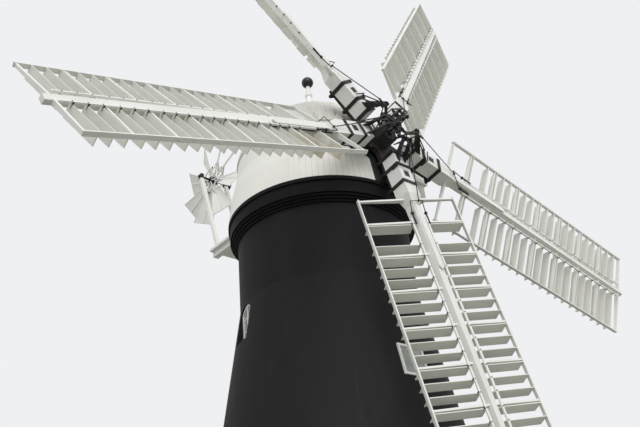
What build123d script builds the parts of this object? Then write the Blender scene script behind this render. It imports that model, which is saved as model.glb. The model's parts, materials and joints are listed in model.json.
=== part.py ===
from build123d import *
import math
import os

# A five-sailed brick tower mill with a boarded ogee cap, patent sails and a fantail.
# Millimetres, +Z up, origin on the ground at the tower's centre. The sails face -Y.

# Tower
BASE_RADIUS = 3750
SHAFT_RADIUS = 2195  # outer radius of the straight upper tower
BATTER_TOP = 9100  # height where the taper ends
WALL_TOP = 10900  # the cornice starts here
WALL_SPLIT = 5600  # joint between lower and upper wall pieces
FLOOR_LEVELS = [2900, 5600, 7500, 9500]
WALL_THICK = [560, 500, 450, 400, 350]  # one per storey, each thinner than the one below
FLOOR_THICK = 60
FLOOR_CLEARANCE = 5
SEAT_GAP = 0.4  # between fixed pieces whose faces are curved or twisted
GROUND_FLOOR_THICK = 120

# Cornice, as (height, radius) of each projecting course
COURSES = [(10900, 2245), (10960, 2295), (11020, 2345), (11080, 2392), (11400, 2430)]
CORNICE_TOP = 11490

# Windows and doors: azimuth is turned from the front towards +X
WINDOW_ROWS = [
    # sill, width, height to the crown, arch rise, azimuths, set-back, tilt with the wall
    (1000, 760, 1150, 190, (0, 180), 240, 0.0),
    (3650, 760, 1150, 190, (-90, 90), 240, 0.0),
    (6590, 710, 720, 0, (-3, 177), -12, 9.7),
    (8080, 640, 940, 170, (-105, 75), 200, 0.0),
]
FRAME_WIDTH = 55
FRAME_DEPTH = 70
PANE_THICK = 8
DOOR_WIDTH = 1100
DOOR_HEIGHT = 2150
DOOR_RISE = 220
DOOR_AZIMUTHS = (-90, 90)
DOOR_SETBACK = 380
DOOR_THICK = 60
DOOR_FRAME = 90

# Cap turning on the tower
CURB_INNER = 1860
CURB_OUTER = 2080
CURB_HEIGHT = 60
CURB_CLEARANCE = 0.5
CAP_RING_OUTER = 2120
CAP_RING_HEIGHT = 200
CAP_RUN_GAP = 6  # skirt above the cornice
BOARD_THICK = 35
SKIRT = [(2430, 11496), (2325, 12250), (2210, 12720), (2165, 13050), (2120, 13350)]
DOME_FOOT = (2165, 13350)
DOME_SHOULDER = (1830, 14135)
DOME_BEND = (1140, 14710)  # the ogee turns from swelling to hollow here
DOME_NECK = (610, 14995)
DOME_TOP = 15330
DOME_TOP_RADIUS = 205
DOME_RIB = 110  # boards and the rafters behind them
SKIRT_LEDGE = 60

# Finial
COLLAR_Z = 15920
BALL_Z = 16400
BALL_RADIUS = 172

# Cap timbers
SHEER_X = 1720
SHEER_WIDTH = 300
SHEER_DEPTH = 480
SHEER_FRONT = 2080
SHEER_BACK = 1290
SHEER_SCRIBE = 20  # gap to the boards where a sheer ends inside them
MOULD_DEPTH = 390
MOULD_SIDE = 95
MOULD_FRONT = 60
MOULD_BACK = 1050  # the moulded top ends inside the skirt
BREAST_HALF = 330
BREAST_RADIUS = 620
BREAST_DROP = 130  # centre of the round part below the hub
NECK_BEAM_WIDTH = 320
NECK_BEAM_DEPTH = 320
TAIL_BEARER_WIDTH = 200

# Windshaft and iron cross
HUB_Y = -2930
HUB_Z = 12840
SHAFT_TILT = 10.54  # nose up
SHAFT_R = 205
JOURNAL_R = 160
JOURNAL_CLEARANCE = 0.05
JOURNAL_FROM = 1440  # where the shaft narrows to its journals, behind the hub
NECK_AT = 1650  # middle of each bearing, behind the hub along the shaft
TAIL_AT = 4100
BEARING_LENGTH = 260
BEARING_WALL = 90
SHAFT_END_GAP = 45
BREAST_HOLE_GAP = 40
SAIL_COUNT = 5
FIRST_SAIL = 38.45  # turn of sail 1 from upright, anticlockwise from the front

# Stocks and whips
STOCK_WIDTH = 420
STOCK_DEPTH = 390
STOCK_START = 700
MORTISE = 115
MORTISE_DEPTH = 150
MORTISE_AT = 1395
STOCK_END = 2000
WHIP_START = 2300
WHIP_WIDTH = 230
WHIP_DEPTH = 250
WHIP_TIP = 9215
WHIP_TIP_SIZE = 130
SAIL_PLANE = -318  # middle of the stocks, behind the hub centre
ARM_LENGTH = 1800
ARM_ROOT = 380
ARM_TIP = 220
ARM_THICK = 115
BOSS_R = 390
BOSS_BACK = 30  # behind the arms
NOSE_R = 260
NOSE_FRONT = -150
STRAPS_AT = (745, 1130, 1660)
STRAP_WIDTH = 60
STRAP_THICK = 16

# Sail frames
HEEL_BAR = 2085
HEEL_BAY = 673
BAY = 900
BAYS = 7
TRAIL_WIDTH = 1311
LEAD_WIDTH = 1129
HEEL_WEATHER = 25.4
TIP_WEATHER = 21.5
BAR_THICK = 45
BAR_DEPTH = 120
BAR_END_DEPTH = 60
HEMLATH_WIDTH = 32
HEMLATH_DEPTH = 95

# Shutters
SHUTTERS_PER_BAY = 3
SHUTTER_CHORD = 280
SHUTTER_THICK = 18
SHUTTER_OPEN = 22
SHUTTER_PIVOT = 71  # from the edge nearer the tip
SHUTTER_GAP = 60  # from the side of the whip, along the bars

# Shutter bars and striking gear
UPLONG_SIZE = 40
UPLONG_AT = 185
UPLONG_RISE = 56.5  # its underside in front of the middle of the bars
UPLONG_START = 2650
UPLONG_END = 8990
ROD_R = 30
SPIDER_AT = 100
SPIDER_HUB_R = 95
SPIDER_ARM = 46
BRACKET_AT = 560  # the cheeks lean in to carry the pivots at this radius
BRACKET_HEIGHT = 430
BRACKET_FOOT = 235
BRACKET_TOP = 90
BRACKET_THICK = 34
BRACKET_GAP = 200
CRANK_REACH = 190
CRANK_THICK = 36
CRANK_EYE = 20
BRIDGE_SIZE = 22
BRIDGE_GAP = 20  # in front of the whip
STRIKE_ROD_R = 11

# Fantail
FAN_Y = 5070
FAN_Z = 15780
FAN_RADIUS = 1480
FAN_BLADES = 8
FAN_FIRST = 24.4
BLADE_ROOT_R = 380
BLADE_ROOT = 260
BLADE_TIP = 790
BLADE_THICK = 16
BLADE_PITCH = 28
FAN_HUB_R = 120
FAN_HUB_LENGTH = 240
FAN_SHAFT_R = 35
SPAR_SIZE = 46
BEARING_SIDE = 170
GEAR_OUT = 90  # shaft beyond the far bearing
POST_X = 470
POST_SIZE = 110
POST_FOOT_Y = 4140
POST_FOOT_Z = 12560
STAGE_HALF = 680
STAGE_BACK = 4300
STAGE_THICK = 80
TAIL_BEAM_X = 470
TAIL_BEAM_WIDTH = 180
TAIL_BEAM_DEPTH = 160

os.makedirs("parts", exist_ok=True)


def save(piece, label):
    """Name a finished piece and write its file."""
    piece.label = label
    export_step(piece, f"parts/{label}.step")


def wall_radius(height):
    """Outer radius of the tower at a height."""
    share = min(height / BATTER_TOP, 1)
    return BASE_RADIUS + (SHAFT_RADIUS - BASE_RADIUS) * share


def turned(plane, about_x=0, about_z=0):
    """The same plane, turned about its own X axis or its own Z axis."""
    return Plane(Location(plane) * Location((0, 0, 0), (about_x, 0, about_z)))


def facing(azimuth, height):
    """Plane on the tower's axis that faces out at an azimuth, its Y axis up."""
    turn = math.radians(azimuth)
    out = (math.sin(turn), -math.cos(turn), 0)
    right = (math.cos(turn), math.sin(turn), 0)
    return Plane(origin=(0, 0, height), x_dir=right, z_dir=out)


def arched(width, height, rise, inset=0):
    """Outline of an opening standing on its sill, with a segmental head when it has a rise."""
    half = width / 2 - inset
    spring = height - rise - (0 if rise else inset)
    with BuildLine() as outline:
        Polyline((-half, spring), (-half, inset), (half, inset), (half, spring))
        if rise:
            ThreePointArc((half, spring), (0, height - inset), (-half, spring))
        else:
            Line((half, spring), (-half, spring))
    return outline.line


# Tower walls: one storey profile after another, stepping in to carry the floors
storeys = [0, *FLOOR_LEVELS, WALL_TOP]
outer_line = [(BASE_RADIUS, 0), (SHAFT_RADIUS, BATTER_TOP), (SHAFT_RADIUS, WALL_TOP)]
inner_line = []
for index, thick in enumerate(WALL_THICK):
    for level in (storeys[index], storeys[index + 1]):
        inner_line.append((wall_radius(level) - thick, level))
    if storeys[index] < BATTER_TOP < storeys[index + 1]:
        inner_line.insert(-1, (wall_radius(BATTER_TOP) - thick, BATTER_TOP))

with BuildPart() as wall:
    with BuildSketch(Plane.XZ):
        with BuildLine():
            Polyline(*outer_line, *reversed(inner_line), close=True)
        make_face()
    revolve(axis=Axis.Z)
    for sill, width, height, rise, azimuths, _, _ in WINDOW_ROWS:
        for azimuth in azimuths:
            with BuildSketch(facing(azimuth, sill).offset(SHAFT_RADIUS - 800)):
                add(arched(width, height, rise))
                make_face()
            extrude(amount=BASE_RADIUS, mode=Mode.SUBTRACT)
    for azimuth in DOOR_AZIMUTHS:
        with BuildSketch(facing(azimuth, 0).offset(SHAFT_RADIUS)):
            add(arched(DOOR_WIDTH, DOOR_HEIGHT, DOOR_RISE))
            make_face()
        extrude(amount=BASE_RADIUS, mode=Mode.SUBTRACT)

QUARTERS = {"front": -135, "right": -45, "back": 45, "left": 135}
for tier, bottom, top in (("lower", 0, WALL_SPLIT), ("upper", WALL_SPLIT, WALL_TOP)):
    for side, start in QUARTERS.items():
        with BuildPart() as wall_piece:
            with BuildSketch(Plane.XZ.rotated((0, 0, start))):
                with Locations((BASE_RADIUS, (bottom + top) / 2)):
                    Rectangle(2 * BASE_RADIUS, top - bottom)
            revolve(axis=Axis.Z, revolution_arc=90)
            add(wall.part, mode=Mode.INTERSECT)
        save(wall_piece.part, f"{tier}_wall_{side}")

# Ground floor and the boarded floors on the ledges of the wall
with BuildPart() as ground_floor:
    Cylinder(
        wall_radius(GROUND_FLOOR_THICK) - WALL_THICK[0] - SEAT_GAP,
        GROUND_FLOOR_THICK,
        align=(Align.CENTER, Align.CENTER, Align.MIN),
    )
save(ground_floor.part, "ground_floor")

with BuildPart() as upper_floors:
    for level, thick in zip(FLOOR_LEVELS, WALL_THICK[1:]):
        with Locations((0, 0, level)):
            Cylinder(
                wall_radius(level + FLOOR_THICK) - thick - FLOOR_CLEARANCE,
                FLOOR_THICK,
                align=(Align.CENTER, Align.CENTER, Align.MIN),
            )
save(upper_floors.part, "upper_floors")

# Corbelled cornice, as deep as the wall below it
with BuildPart() as cornice:
    with BuildSketch(Plane.XZ):
        with BuildLine():
            steps = []
            for index, (height, radius) in enumerate(COURSES):
                above = COURSES[index + 1][0] if index + 1 < len(COURSES) else CORNICE_TOP
                steps += [(radius, height), (radius, above)]
            inside = SHAFT_RADIUS - WALL_THICK[-1]
            Polyline((inside, WALL_TOP), *steps, (inside, CORNICE_TOP), close=True)
        make_face()
    revolve(axis=Axis.Z)
save(cornice.part, "cornice")

# Windows: an arched or square frame with a mullion and two panes behind it
with BuildPart() as window_frames:
    for sill, width, height, rise, azimuths, setback, lean in WINDOW_ROWS:
        for azimuth in azimuths:
            face = facing(azimuth, sill).offset(wall_radius(sill) - setback - FRAME_DEPTH)
            with BuildSketch(turned(face, about_x=-lean)):
                add(arched(width, height, rise))
                make_face()
                add(arched(width, height, rise, FRAME_WIDTH))
                make_face(mode=Mode.SUBTRACT)
                with Locations((0, (height - FRAME_WIDTH / 2) / 2)):
                    Rectangle(FRAME_WIDTH * 0.7, height - FRAME_WIDTH)
            extrude(amount=FRAME_DEPTH)
save(window_frames.part, "window_frames")

with BuildPart() as window_panes:
    for sill, width, height, rise, azimuths, setback, lean in WINDOW_ROWS:
        for azimuth in azimuths:
            face = facing(azimuth, sill).offset(wall_radius(sill) - setback - FRAME_DEPTH)
            with BuildSketch(turned(face, about_x=-lean).offset(FRAME_DEPTH / 2)):
                add(arched(width, height, rise, FRAME_WIDTH))
                make_face()
                with Locations((0, height / 2)):
                    Rectangle(FRAME_WIDTH * 0.7, height, mode=Mode.SUBTRACT)
            extrude(amount=PANE_THICK)
save(window_panes.part, "window_panes")

# Doors: a frame in each doorway and a boarded leaf closed in it
with BuildPart() as door_frames:
    for azimuth in DOOR_AZIMUTHS:
        with BuildSketch(facing(azimuth, 0).offset(BASE_RADIUS - DOOR_SETBACK - DOOR_FRAME)):
            add(arched(DOOR_WIDTH, DOOR_HEIGHT, DOOR_RISE))
            make_face()
            add(arched(DOOR_WIDTH, DOOR_HEIGHT, DOOR_RISE, DOOR_FRAME))
            make_face(mode=Mode.SUBTRACT)
        extrude(amount=DOOR_FRAME)
save(door_frames.part, "door_frames")

with BuildPart() as doors:
    for azimuth in DOOR_AZIMUTHS:
        with BuildSketch(facing(azimuth, 0).offset(BASE_RADIUS - DOOR_SETBACK - DOOR_THICK)):
            add(arched(DOOR_WIDTH, DOOR_HEIGHT, DOOR_RISE, DOOR_FRAME))
            make_face()
        extrude(amount=DOOR_THICK)
save(doors.part, "doors")

# Curb: the iron track on the wall head that the cap turns on
with BuildPart() as curb:
    with Locations((0, 0, CORNICE_TOP)):
        Cylinder(CURB_OUTER, CURB_HEIGHT, align=(Align.CENTER, Align.CENTER, Align.MIN))
        Cylinder(
            CURB_INNER, CURB_HEIGHT, align=(Align.CENTER, Align.CENTER, Align.MIN), mode=Mode.SUBTRACT
        )
save(curb.part, "curb")

# Cap ring, with a lip inside the curb that keeps the cap centred
ring_bottom = CORNICE_TOP + CURB_HEIGHT + CURB_CLEARANCE
ring_top = ring_bottom + CAP_RING_HEIGHT
lip_outer = CURB_INNER - CURB_CLEARANCE
with BuildPart() as cap_ring:
    with BuildSketch(Plane.XZ):
        with BuildLine():
            Polyline(
                (lip_outer - 60, CORNICE_TOP + CAP_RUN_GAP),
                (lip_outer, CORNICE_TOP + CAP_RUN_GAP),
                (lip_outer, ring_bottom),
                (CAP_RING_OUTER, ring_bottom),
                (CAP_RING_OUTER, ring_top),
                (lip_outer - 60, ring_top),
                close=True,
            )
        make_face()
    revolve(axis=Axis.Z)
save(cap_ring.part, "cap_ring")

# Planes of the windshaft: local Y up the sail plane, local Z out of the nose
tilt = math.radians(SHAFT_TILT)
shaft_plane = Plane(
    origin=(0, HUB_Y, HUB_Z), x_dir=(1, 0, 0), z_dir=(0, -math.cos(tilt), math.sin(tilt))
)


def sail_location(number):
    """Placement of a piece drawn with its sail along +Y and its front towards +Z."""
    return Location(turned(shaft_plane, about_z=FIRST_SAIL + 360 / SAIL_COUNT * number))


def around_the_hub(piece):
    """The same piece on every sail."""
    return [piece.moved(sail_location(number)) for number in range(SAIL_COUNT)]


# Skirt of the cap: bell-cast boarding with a ledge that sits on the cap ring
sheer_bottom = ring_top + SKIRT_LEDGE
with BuildPart() as skirt_shell:
    with BuildSketch(Plane.XZ):
        with BuildLine():
            outside = Polyline(*SKIRT)
            inside = Polyline(*[(radius - BOARD_THICK, height) for radius, height in SKIRT])
            Line(outside @ 0, inside @ 0)
            Line(outside @ 1, inside @ 1)
        make_face()
    revolve(axis=Axis.Z)

# The dark breast is the part of the skirt below and around the windshaft
with BuildPart() as keyhole:
    with BuildSketch(Plane.XZ.offset(SKIRT[0][0] / 2)):
        with Locations((0, SKIRT[0][1])):
            Rectangle(2 * BREAST_HALF, HUB_Z - SKIRT[0][1], align=(Align.CENTER, Align.MIN))
        with Locations((0, HUB_Z - BREAST_DROP)):
            Circle(BREAST_RADIUS)
    extrude(amount=SKIRT[0][0])

with BuildPart() as breast:
    add(skirt_shell.part)
    add(keyhole.part, mode=Mode.INTERSECT)
    with BuildSketch(shaft_plane):
        Circle(SHAFT_R + BREAST_HOLE_GAP)
    extrude(amount=-SKIRT[0][0], mode=Mode.SUBTRACT)
save(breast.part, "breast")

# Tail beams pass out through the back of the skirt
tail_beam_top = POST_FOOT_Z
tail_beam_bottom = tail_beam_top - TAIL_BEAM_DEPTH
with BuildPart() as skirt:
    with Locations((0, 0, ring_top)):
        Cylinder(
            SKIRT[0][0] - 2 * BOARD_THICK,
            SKIRT_LEDGE,
            align=(Align.CENTER, Align.CENTER, Align.MIN),
        )
        Cylinder(
            lip_outer,
            SKIRT_LEDGE,
            align=(Align.CENTER, Align.CENTER, Align.MIN),
            mode=Mode.SUBTRACT,
        )
    add(skirt_shell.part)
    add(keyhole.part, mode=Mode.SUBTRACT)
    with Locations((SHEER_X, 0, sheer_bottom)):
        Box(
            SHEER_WIDTH,
            SKIRT[0][0],
            SHEER_DEPTH,
            align=(Align.CENTER, Align.MAX, Align.MIN),
            mode=Mode.SUBTRACT,
        )
    with Locations((SHEER_X, -MOULD_BACK, sheer_bottom + SHEER_DEPTH)):
        Box(
            SHEER_WIDTH + 2 * MOULD_SIDE,
            SKIRT[0][0],
            MOULD_DEPTH,
            align=(Align.CENTER, Align.MAX, Align.MIN),
            mode=Mode.SUBTRACT,
        )
    with Locations((TAIL_BEAM_X, 0, tail_beam_bottom), (-TAIL_BEAM_X, 0, tail_beam_bottom)):
        Box(
            TAIL_BEAM_WIDTH,
            SKIRT[0][0],
            TAIL_BEAM_DEPTH,
            align=(Align.CENTER, Align.MIN, Align.MIN),
            mode=Mode.SUBTRACT,
        )
save(skirt.part, "skirt")

# Ogee dome standing on the skirt
with BuildPart() as dome:
    with BuildSketch(Plane.XZ):
        with BuildLine():
            ThreePointArc(DOME_FOOT, DOME_SHOULDER, DOME_BEND)
            ThreePointArc(DOME_BEND, DOME_NECK, (DOME_TOP_RADIUS, DOME_TOP))
            Polyline(
                (DOME_TOP_RADIUS, DOME_TOP),
                (0, DOME_TOP),
                (0, DOME_BEND[1] + DOME_RIB),
                (DOME_BEND[0] - DOME_RIB, DOME_BEND[1] - DOME_RIB),
                (DOME_SHOULDER[0] - DOME_RIB, DOME_SHOULDER[1] - DOME_RIB),
                (DOME_FOOT[0] - DOME_RIB, DOME_FOOT[1]),
                DOME_FOOT,
            )
        make_face()
    revolve(axis=Axis.Z)
save(dome.part, "dome")

# Turned finial with its black ball
with BuildPart() as finial:
    with BuildSketch(Plane.XZ):
        with BuildLine():
            foot = ThreePointArc(
                (DOME_TOP_RADIUS, DOME_TOP), (135, DOME_TOP + 230), (82, COLLAR_Z - 60)
            )
            Polyline(foot @ 1, (108, COLLAR_Z - 40), (108, COLLAR_Z + 20), (70, COLLAR_Z + 50))
            Line((70, COLLAR_Z + 50), (62, BALL_Z - BALL_RADIUS))
            Polyline((62, BALL_Z - BALL_RADIUS), (0, BALL_Z - BALL_RADIUS), (0, DOME_TOP), foot @ 0)
        make_face()
    revolve(axis=Axis.Z)
save(finial.part, "finial")

with BuildPart() as finial_ball:
    with Locations((0, 0, BALL_Z)):
        Sphere(BALL_RADIUS)
    with Locations((0, 0, BALL_Z - BALL_RADIUS)):
        Cylinder(62, 20, align=(Align.CENTER, Align.CENTER, Align.MIN))
save(finial_ball.part, "finial_ball")


def along_shaft(distance):
    """Centre of the windshaft a distance behind the hub."""
    return shaft_plane.origin - shaft_plane.z_dir * distance


# Sheers: two long beams. One is scribed to the inside of the skirt, the moulded end of the
# other stands out in front.
with BuildPart() as sheers:
    for side in (-1, 1):
        with Locations((side * SHEER_X, -SHEER_FRONT, sheer_bottom)):
            Box(
                SHEER_WIDTH,
                SHEER_FRONT + SHEER_BACK,
                SHEER_DEPTH,
                align=(Align.CENTER, Align.MIN, Align.MIN),
            )
        if side < 0:
            with Locations((0, 0, sheer_bottom)):
                Cylinder(
                    SKIRT[1][0] - BOARD_THICK - SHEER_SCRIBE,
                    SHEER_DEPTH,
                    align=(Align.CENTER, Align.CENTER, Align.MIN),
                    mode=Mode.INTERSECT,
                )
    with Locations((SHEER_X, -MOULD_BACK, sheer_bottom + SHEER_DEPTH)):
        Box(
            SHEER_WIDTH + 2 * MOULD_SIDE,
            SHEER_FRONT + MOULD_FRONT - MOULD_BACK,
            MOULD_DEPTH,
            align=(Align.CENTER, Align.MAX, Align.MIN),
        )
save(sheers.part, "sheers")

# Beams that carry the windshaft's bearings, framed between the sheers
neck = along_shaft(NECK_AT)
tail = along_shaft(TAIL_AT)
neck_beam_top = neck.Z - JOURNAL_R - BEARING_WALL
tail_bearer_front = tail.Y + BEARING_LENGTH / 2
with BuildPart() as shaft_beams:
    with Locations((0, neck.Y, neck_beam_top)):
        Box(
            2 * SHEER_X - SHEER_WIDTH,
            NECK_BEAM_WIDTH,
            NECK_BEAM_DEPTH,
            align=(Align.CENTER, Align.CENTER, Align.MAX),
        )
    with Locations((0, tail_bearer_front, sheer_bottom)):
        Box(
            2 * SHEER_X - SHEER_WIDTH,
            TAIL_BEARER_WIDTH,
            tail_beam_bottom - sheer_bottom,
            align=(Align.CENTER, Align.MIN, Align.MIN),
        )
save(shaft_beams.part, "shaft_beams")

with BuildPart() as shaft_bearings:
    for middle in (neck, tail):
        with Locations(middle):
            Box(
                2 * (JOURNAL_R + BEARING_WALL),
                BEARING_LENGTH,
                2 * (JOURNAL_R + BEARING_WALL),
            )
    with BuildSketch(shaft_plane):
        Circle(JOURNAL_R + JOURNAL_CLEARANCE)
    extrude(amount=-2 * TAIL_AT, mode=Mode.SUBTRACT)
save(shaft_bearings.part, "shaft_bearings")

# Windshaft from the iron cross back to its tail bearing
boss_back = SAIL_PLANE - STOCK_DEPTH / 2 - ARM_THICK - BOSS_BACK
with BuildPart() as windshaft:
    with BuildSketch(shaft_plane.offset(boss_back)):
        Circle(SHAFT_R)
    extrude(amount=-(JOURNAL_FROM + boss_back))
    with BuildSketch(shaft_plane.offset(-JOURNAL_FROM)):
        Circle(JOURNAL_R)
    extrude(amount=-(TAIL_AT + BEARING_LENGTH / 2 - SHAFT_END_GAP - JOURNAL_FROM))
save(windshaft.part, "windshaft")

# Iron cross: five tapering arms behind the stocks, on a boss with a nose
arm_front = SAIL_PLANE - STOCK_DEPTH / 2
with BuildPart() as iron_cross:
    with BuildSketch(shaft_plane.offset(arm_front)):
        with BuildLine():
            Polyline(
                (-ARM_ROOT / 2, 0),
                (-ARM_ROOT / 2, BOSS_R),
                (-ARM_TIP / 2, ARM_LENGTH),
                (ARM_TIP / 2, ARM_LENGTH),
                (ARM_ROOT / 2, BOSS_R),
                (ARM_ROOT / 2, 0),
                close=True,
            )
        arm_outline = make_face()
    arm = extrude(amount=-ARM_THICK, mode=Mode.PRIVATE)
    for number in range(SAIL_COUNT):
        turn = FIRST_SAIL + 360 / SAIL_COUNT * number
        add(arm.rotate(Axis(shaft_plane.origin, shaft_plane.z_dir), turn))
    with BuildSketch(shaft_plane.offset(arm_front)):
        Circle(BOSS_R)
    extrude(amount=-(ARM_THICK + BOSS_BACK))
    with BuildSketch(shaft_plane.offset(arm_front)):
        Circle(NOSE_R)
    extrude(amount=NOSE_FRONT - arm_front)
save(iron_cross.part, "iron_cross")


def cross_section(distance, width, depth):
    """Rectangle across a sail at a distance from the hub."""
    across = Plane(origin=(0, distance, SAIL_PLANE), x_dir=(1, 0, 0), z_dir=(0, 1, 0))
    with BuildSketch(across) as section:
        Rectangle(width, depth)
    return section.sketch


# Stock and whip of one sail, from the square stock to the slender tip
with BuildPart() as stock:
    loft([cross_section(STOCK_START, STOCK_WIDTH, STOCK_DEPTH),
          cross_section(STOCK_END, STOCK_WIDTH, STOCK_DEPTH)])
    loft([cross_section(STOCK_END, STOCK_WIDTH, STOCK_DEPTH),
          cross_section(WHIP_START, WHIP_WIDTH, WHIP_DEPTH)])
    loft([cross_section(WHIP_START, WHIP_WIDTH, WHIP_DEPTH),
          cross_section(WHIP_TIP, WHIP_TIP_SIZE, WHIP_TIP_SIZE)])
    with Locations((0, MORTISE_AT, SAIL_PLANE + STOCK_DEPTH / 2)):
        Box(MORTISE, MORTISE, 2 * MORTISE_DEPTH, mode=Mode.SUBTRACT)
for number, piece in enumerate(around_the_hub(stock.part), 1):
    save(piece, f"stock_{number}")

# Iron straps that hold each stock to its arm
strap_middle = SAIL_PLANE - ARM_THICK / 2
strap_depth = STOCK_DEPTH + ARM_THICK
with BuildPart() as straps:
    for distance in STRAPS_AT:
        across = Plane(origin=(0, distance, strap_middle), x_dir=(1, 0, 0), z_dir=(0, 1, 0))
        with BuildSketch(across.offset(-STRAP_WIDTH / 2)):
            Rectangle(STOCK_WIDTH + 2 * STRAP_THICK, strap_depth + 2 * STRAP_THICK)
            Rectangle(STOCK_WIDTH, strap_depth, mode=Mode.SUBTRACT)
        extrude(amount=STRAP_WIDTH)
with BuildPart() as stock_straps:
    add(around_the_hub(straps.part))
save(stock_straps.part, "stock_straps")


def weather(distance):
    """Twist of the sail at a distance from the hub, in radians."""
    share = (distance - HEEL_BAR) / (HEEL_BAY + BAY * BAYS)
    return math.radians(HEEL_WEATHER + (TIP_WEATHER - HEEL_WEATHER) * share)


def along_bar(distance, side):
    """Plane across the sail with local X out along a bar and local Y out of the front."""
    angle = weather(distance)
    outward = (side * math.cos(angle), 0, -side * math.sin(angle))
    return Plane(origin=(0, distance, SAIL_PLANE), x_dir=outward, z_dir=(0, -side, 0))


bars_at = [HEEL_BAR] + [HEEL_BAR + HEEL_BAY + BAY * index for index in range(BAYS + 1)]
SIDES = ((1, TRAIL_WIDTH), (-1, LEAD_WIDTH))

# Frame of one sail: tapered bars through the whip, and a hemlath along each edge
with BuildPart() as frame:
    for distance in bars_at:
        for side, reach in SIDES:
            with BuildSketch(along_bar(distance, side)):
                with BuildLine():
                    Polyline(
                        (0, -BAR_DEPTH / 2),
                        (reach, -BAR_END_DEPTH / 2),
                        (reach, BAR_END_DEPTH / 2),
                        (0, BAR_DEPTH / 2),
                        close=True,
                    )
                make_face()
            extrude(amount=BAR_THICK / 2, both=True)
    for side, reach in SIDES:
        ends = []
        for distance in (bars_at[0] - BAR_THICK, bars_at[4], bars_at[-1] + BAR_THICK):
            with BuildSketch(along_bar(distance, side)) as end:
                with Locations((reach - HEMLATH_WIDTH / 2, 0)):
                    Rectangle(HEMLATH_WIDTH, HEMLATH_DEPTH)
            ends.append(end.sketch)
        loft(ends, ruled=True)
    add(stock.part, mode=Mode.SUBTRACT)
for number, piece in enumerate(around_the_hub(frame.part), 1):
    save(piece, f"sail_frame_{number}")

# Shutters of one sail, standing part open on square pins in the hemlaths
shutter_pitch = (BAY - BAR_THICK) / SHUTTERS_PER_BAY
shutters_at = []
for bay in range(BAYS):
    for place in range(SHUTTERS_PER_BAY):
        if bay or place != 1:
            shutters_at.append(bars_at[bay + 1] + BAR_THICK / 2 + shutter_pitch * (place + 0.5))

to_hinge = (SHUTTER_CHORD / 2 - SHUTTER_PIVOT) * math.cos(math.radians(SHUTTER_OPEN))
whip_taper = (WHIP_WIDTH - WHIP_TIP_SIZE) / (WHIP_TIP - WHIP_START)
with BuildPart() as shutters:
    for distance in shutters_at:
        for side, reach in SIDES:
            across = along_bar(distance, side)
            start_at = (WHIP_WIDTH - whip_taper * (distance - WHIP_START)) / 2 + SHUTTER_GAP
            end_at = reach - HEMLATH_WIDTH - 1.6 * SEAT_GAP
            hinge = distance + to_hinge
            slat_plane = Plane(
                origin=along_bar(hinge, side).origin + across.x_dir * start_at,
                x_dir=(0, 1, 0),
                z_dir=across.x_dir,
            )
            with BuildSketch(turned(slat_plane, about_z=side * SHUTTER_OPEN)):
                with Locations((SHUTTER_PIVOT - SHUTTER_CHORD / 2, 0)):
                    Rectangle(SHUTTER_CHORD, SHUTTER_THICK)
            extrude(amount=end_at - start_at)
for number, piece in enumerate(around_the_hub(shutters.part), 1):
    save(piece, f"shutters_{number}")

# Shutter bars: the long rods in front of the bars that work the shutters
with BuildPart() as uplongs:
    for side, _ in SIDES:
        ends = []
        for distance in (UPLONG_START, UPLONG_END):
            with BuildSketch(along_bar(distance, side)) as end:
                with Locations((UPLONG_AT, UPLONG_RISE + UPLONG_SIZE / 2)):
                    Rectangle(UPLONG_SIZE, UPLONG_SIZE)
            ends.append(end.sketch)
        loft(ends)
with BuildPart() as shutter_bars:
    add(around_the_hub(uplongs.part))
save(shutter_bars.part, "shutter_bars")

# Striking gear: a rod through the nose with a five-armed spider
spider_reach = BRACKET_AT - CRANK_REACH - CRANK_EYE
with BuildPart() as spider:
    with BuildSketch(shaft_plane.offset(NOSE_FRONT)):
        Circle(ROD_R)
    extrude(amount=SPIDER_AT - NOSE_FRONT)
    with BuildSketch(shaft_plane.offset(SPIDER_AT - SPIDER_ARM)):
        Circle(SPIDER_HUB_R)
    extrude(amount=2 * SPIDER_ARM)
    for number in range(SAIL_COUNT):
        turn = FIRST_SAIL + 360 / SAIL_COUNT * number
        with BuildSketch(turned(shaft_plane.offset(SPIDER_AT - SPIDER_ARM / 2), about_z=turn)):
            with Locations((0, spider_reach / 2)):
                Rectangle(SPIDER_ARM, spider_reach)
        extrude(amount=SPIDER_ARM)
save(spider.part, "spider")

# Crank brackets on the stocks, each a pair of cheeks with the bell crank between them
stock_front = SAIL_PLANE + STOCK_DEPTH / 2
pivot_height = stock_front + BRACKET_HEIGHT - 60
bracket_foot = STRAPS_AT[0] + STRAP_WIDTH / 2 + SEAT_GAP
with BuildPart() as bracket:
    for side in (-1, 1):
        with BuildSketch(Plane.YZ.offset(side * (BRACKET_GAP + BRACKET_THICK) / 2)):
            with BuildLine():
                Polyline(
                    (bracket_foot, stock_front),
                    (bracket_foot + BRACKET_FOOT, stock_front),
                    (BRACKET_AT + BRACKET_TOP / 2, stock_front + BRACKET_HEIGHT),
                    (BRACKET_AT - BRACKET_TOP / 2, stock_front + BRACKET_HEIGHT),
                    (bracket_foot, stock_front + 2 * STRAP_THICK),
                    close=True,
                )
            make_face()
        extrude(amount=BRACKET_THICK / 2, both=True)
    with Locations((0, BRACKET_AT, pivot_height)):
        Cylinder(14, BRACKET_GAP + 2 * BRACKET_THICK, rotation=(0, 90, 0))
with BuildPart() as crank_brackets:
    add(around_the_hub(bracket.part))
save(crank_brackets.part, "crank_brackets")

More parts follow.
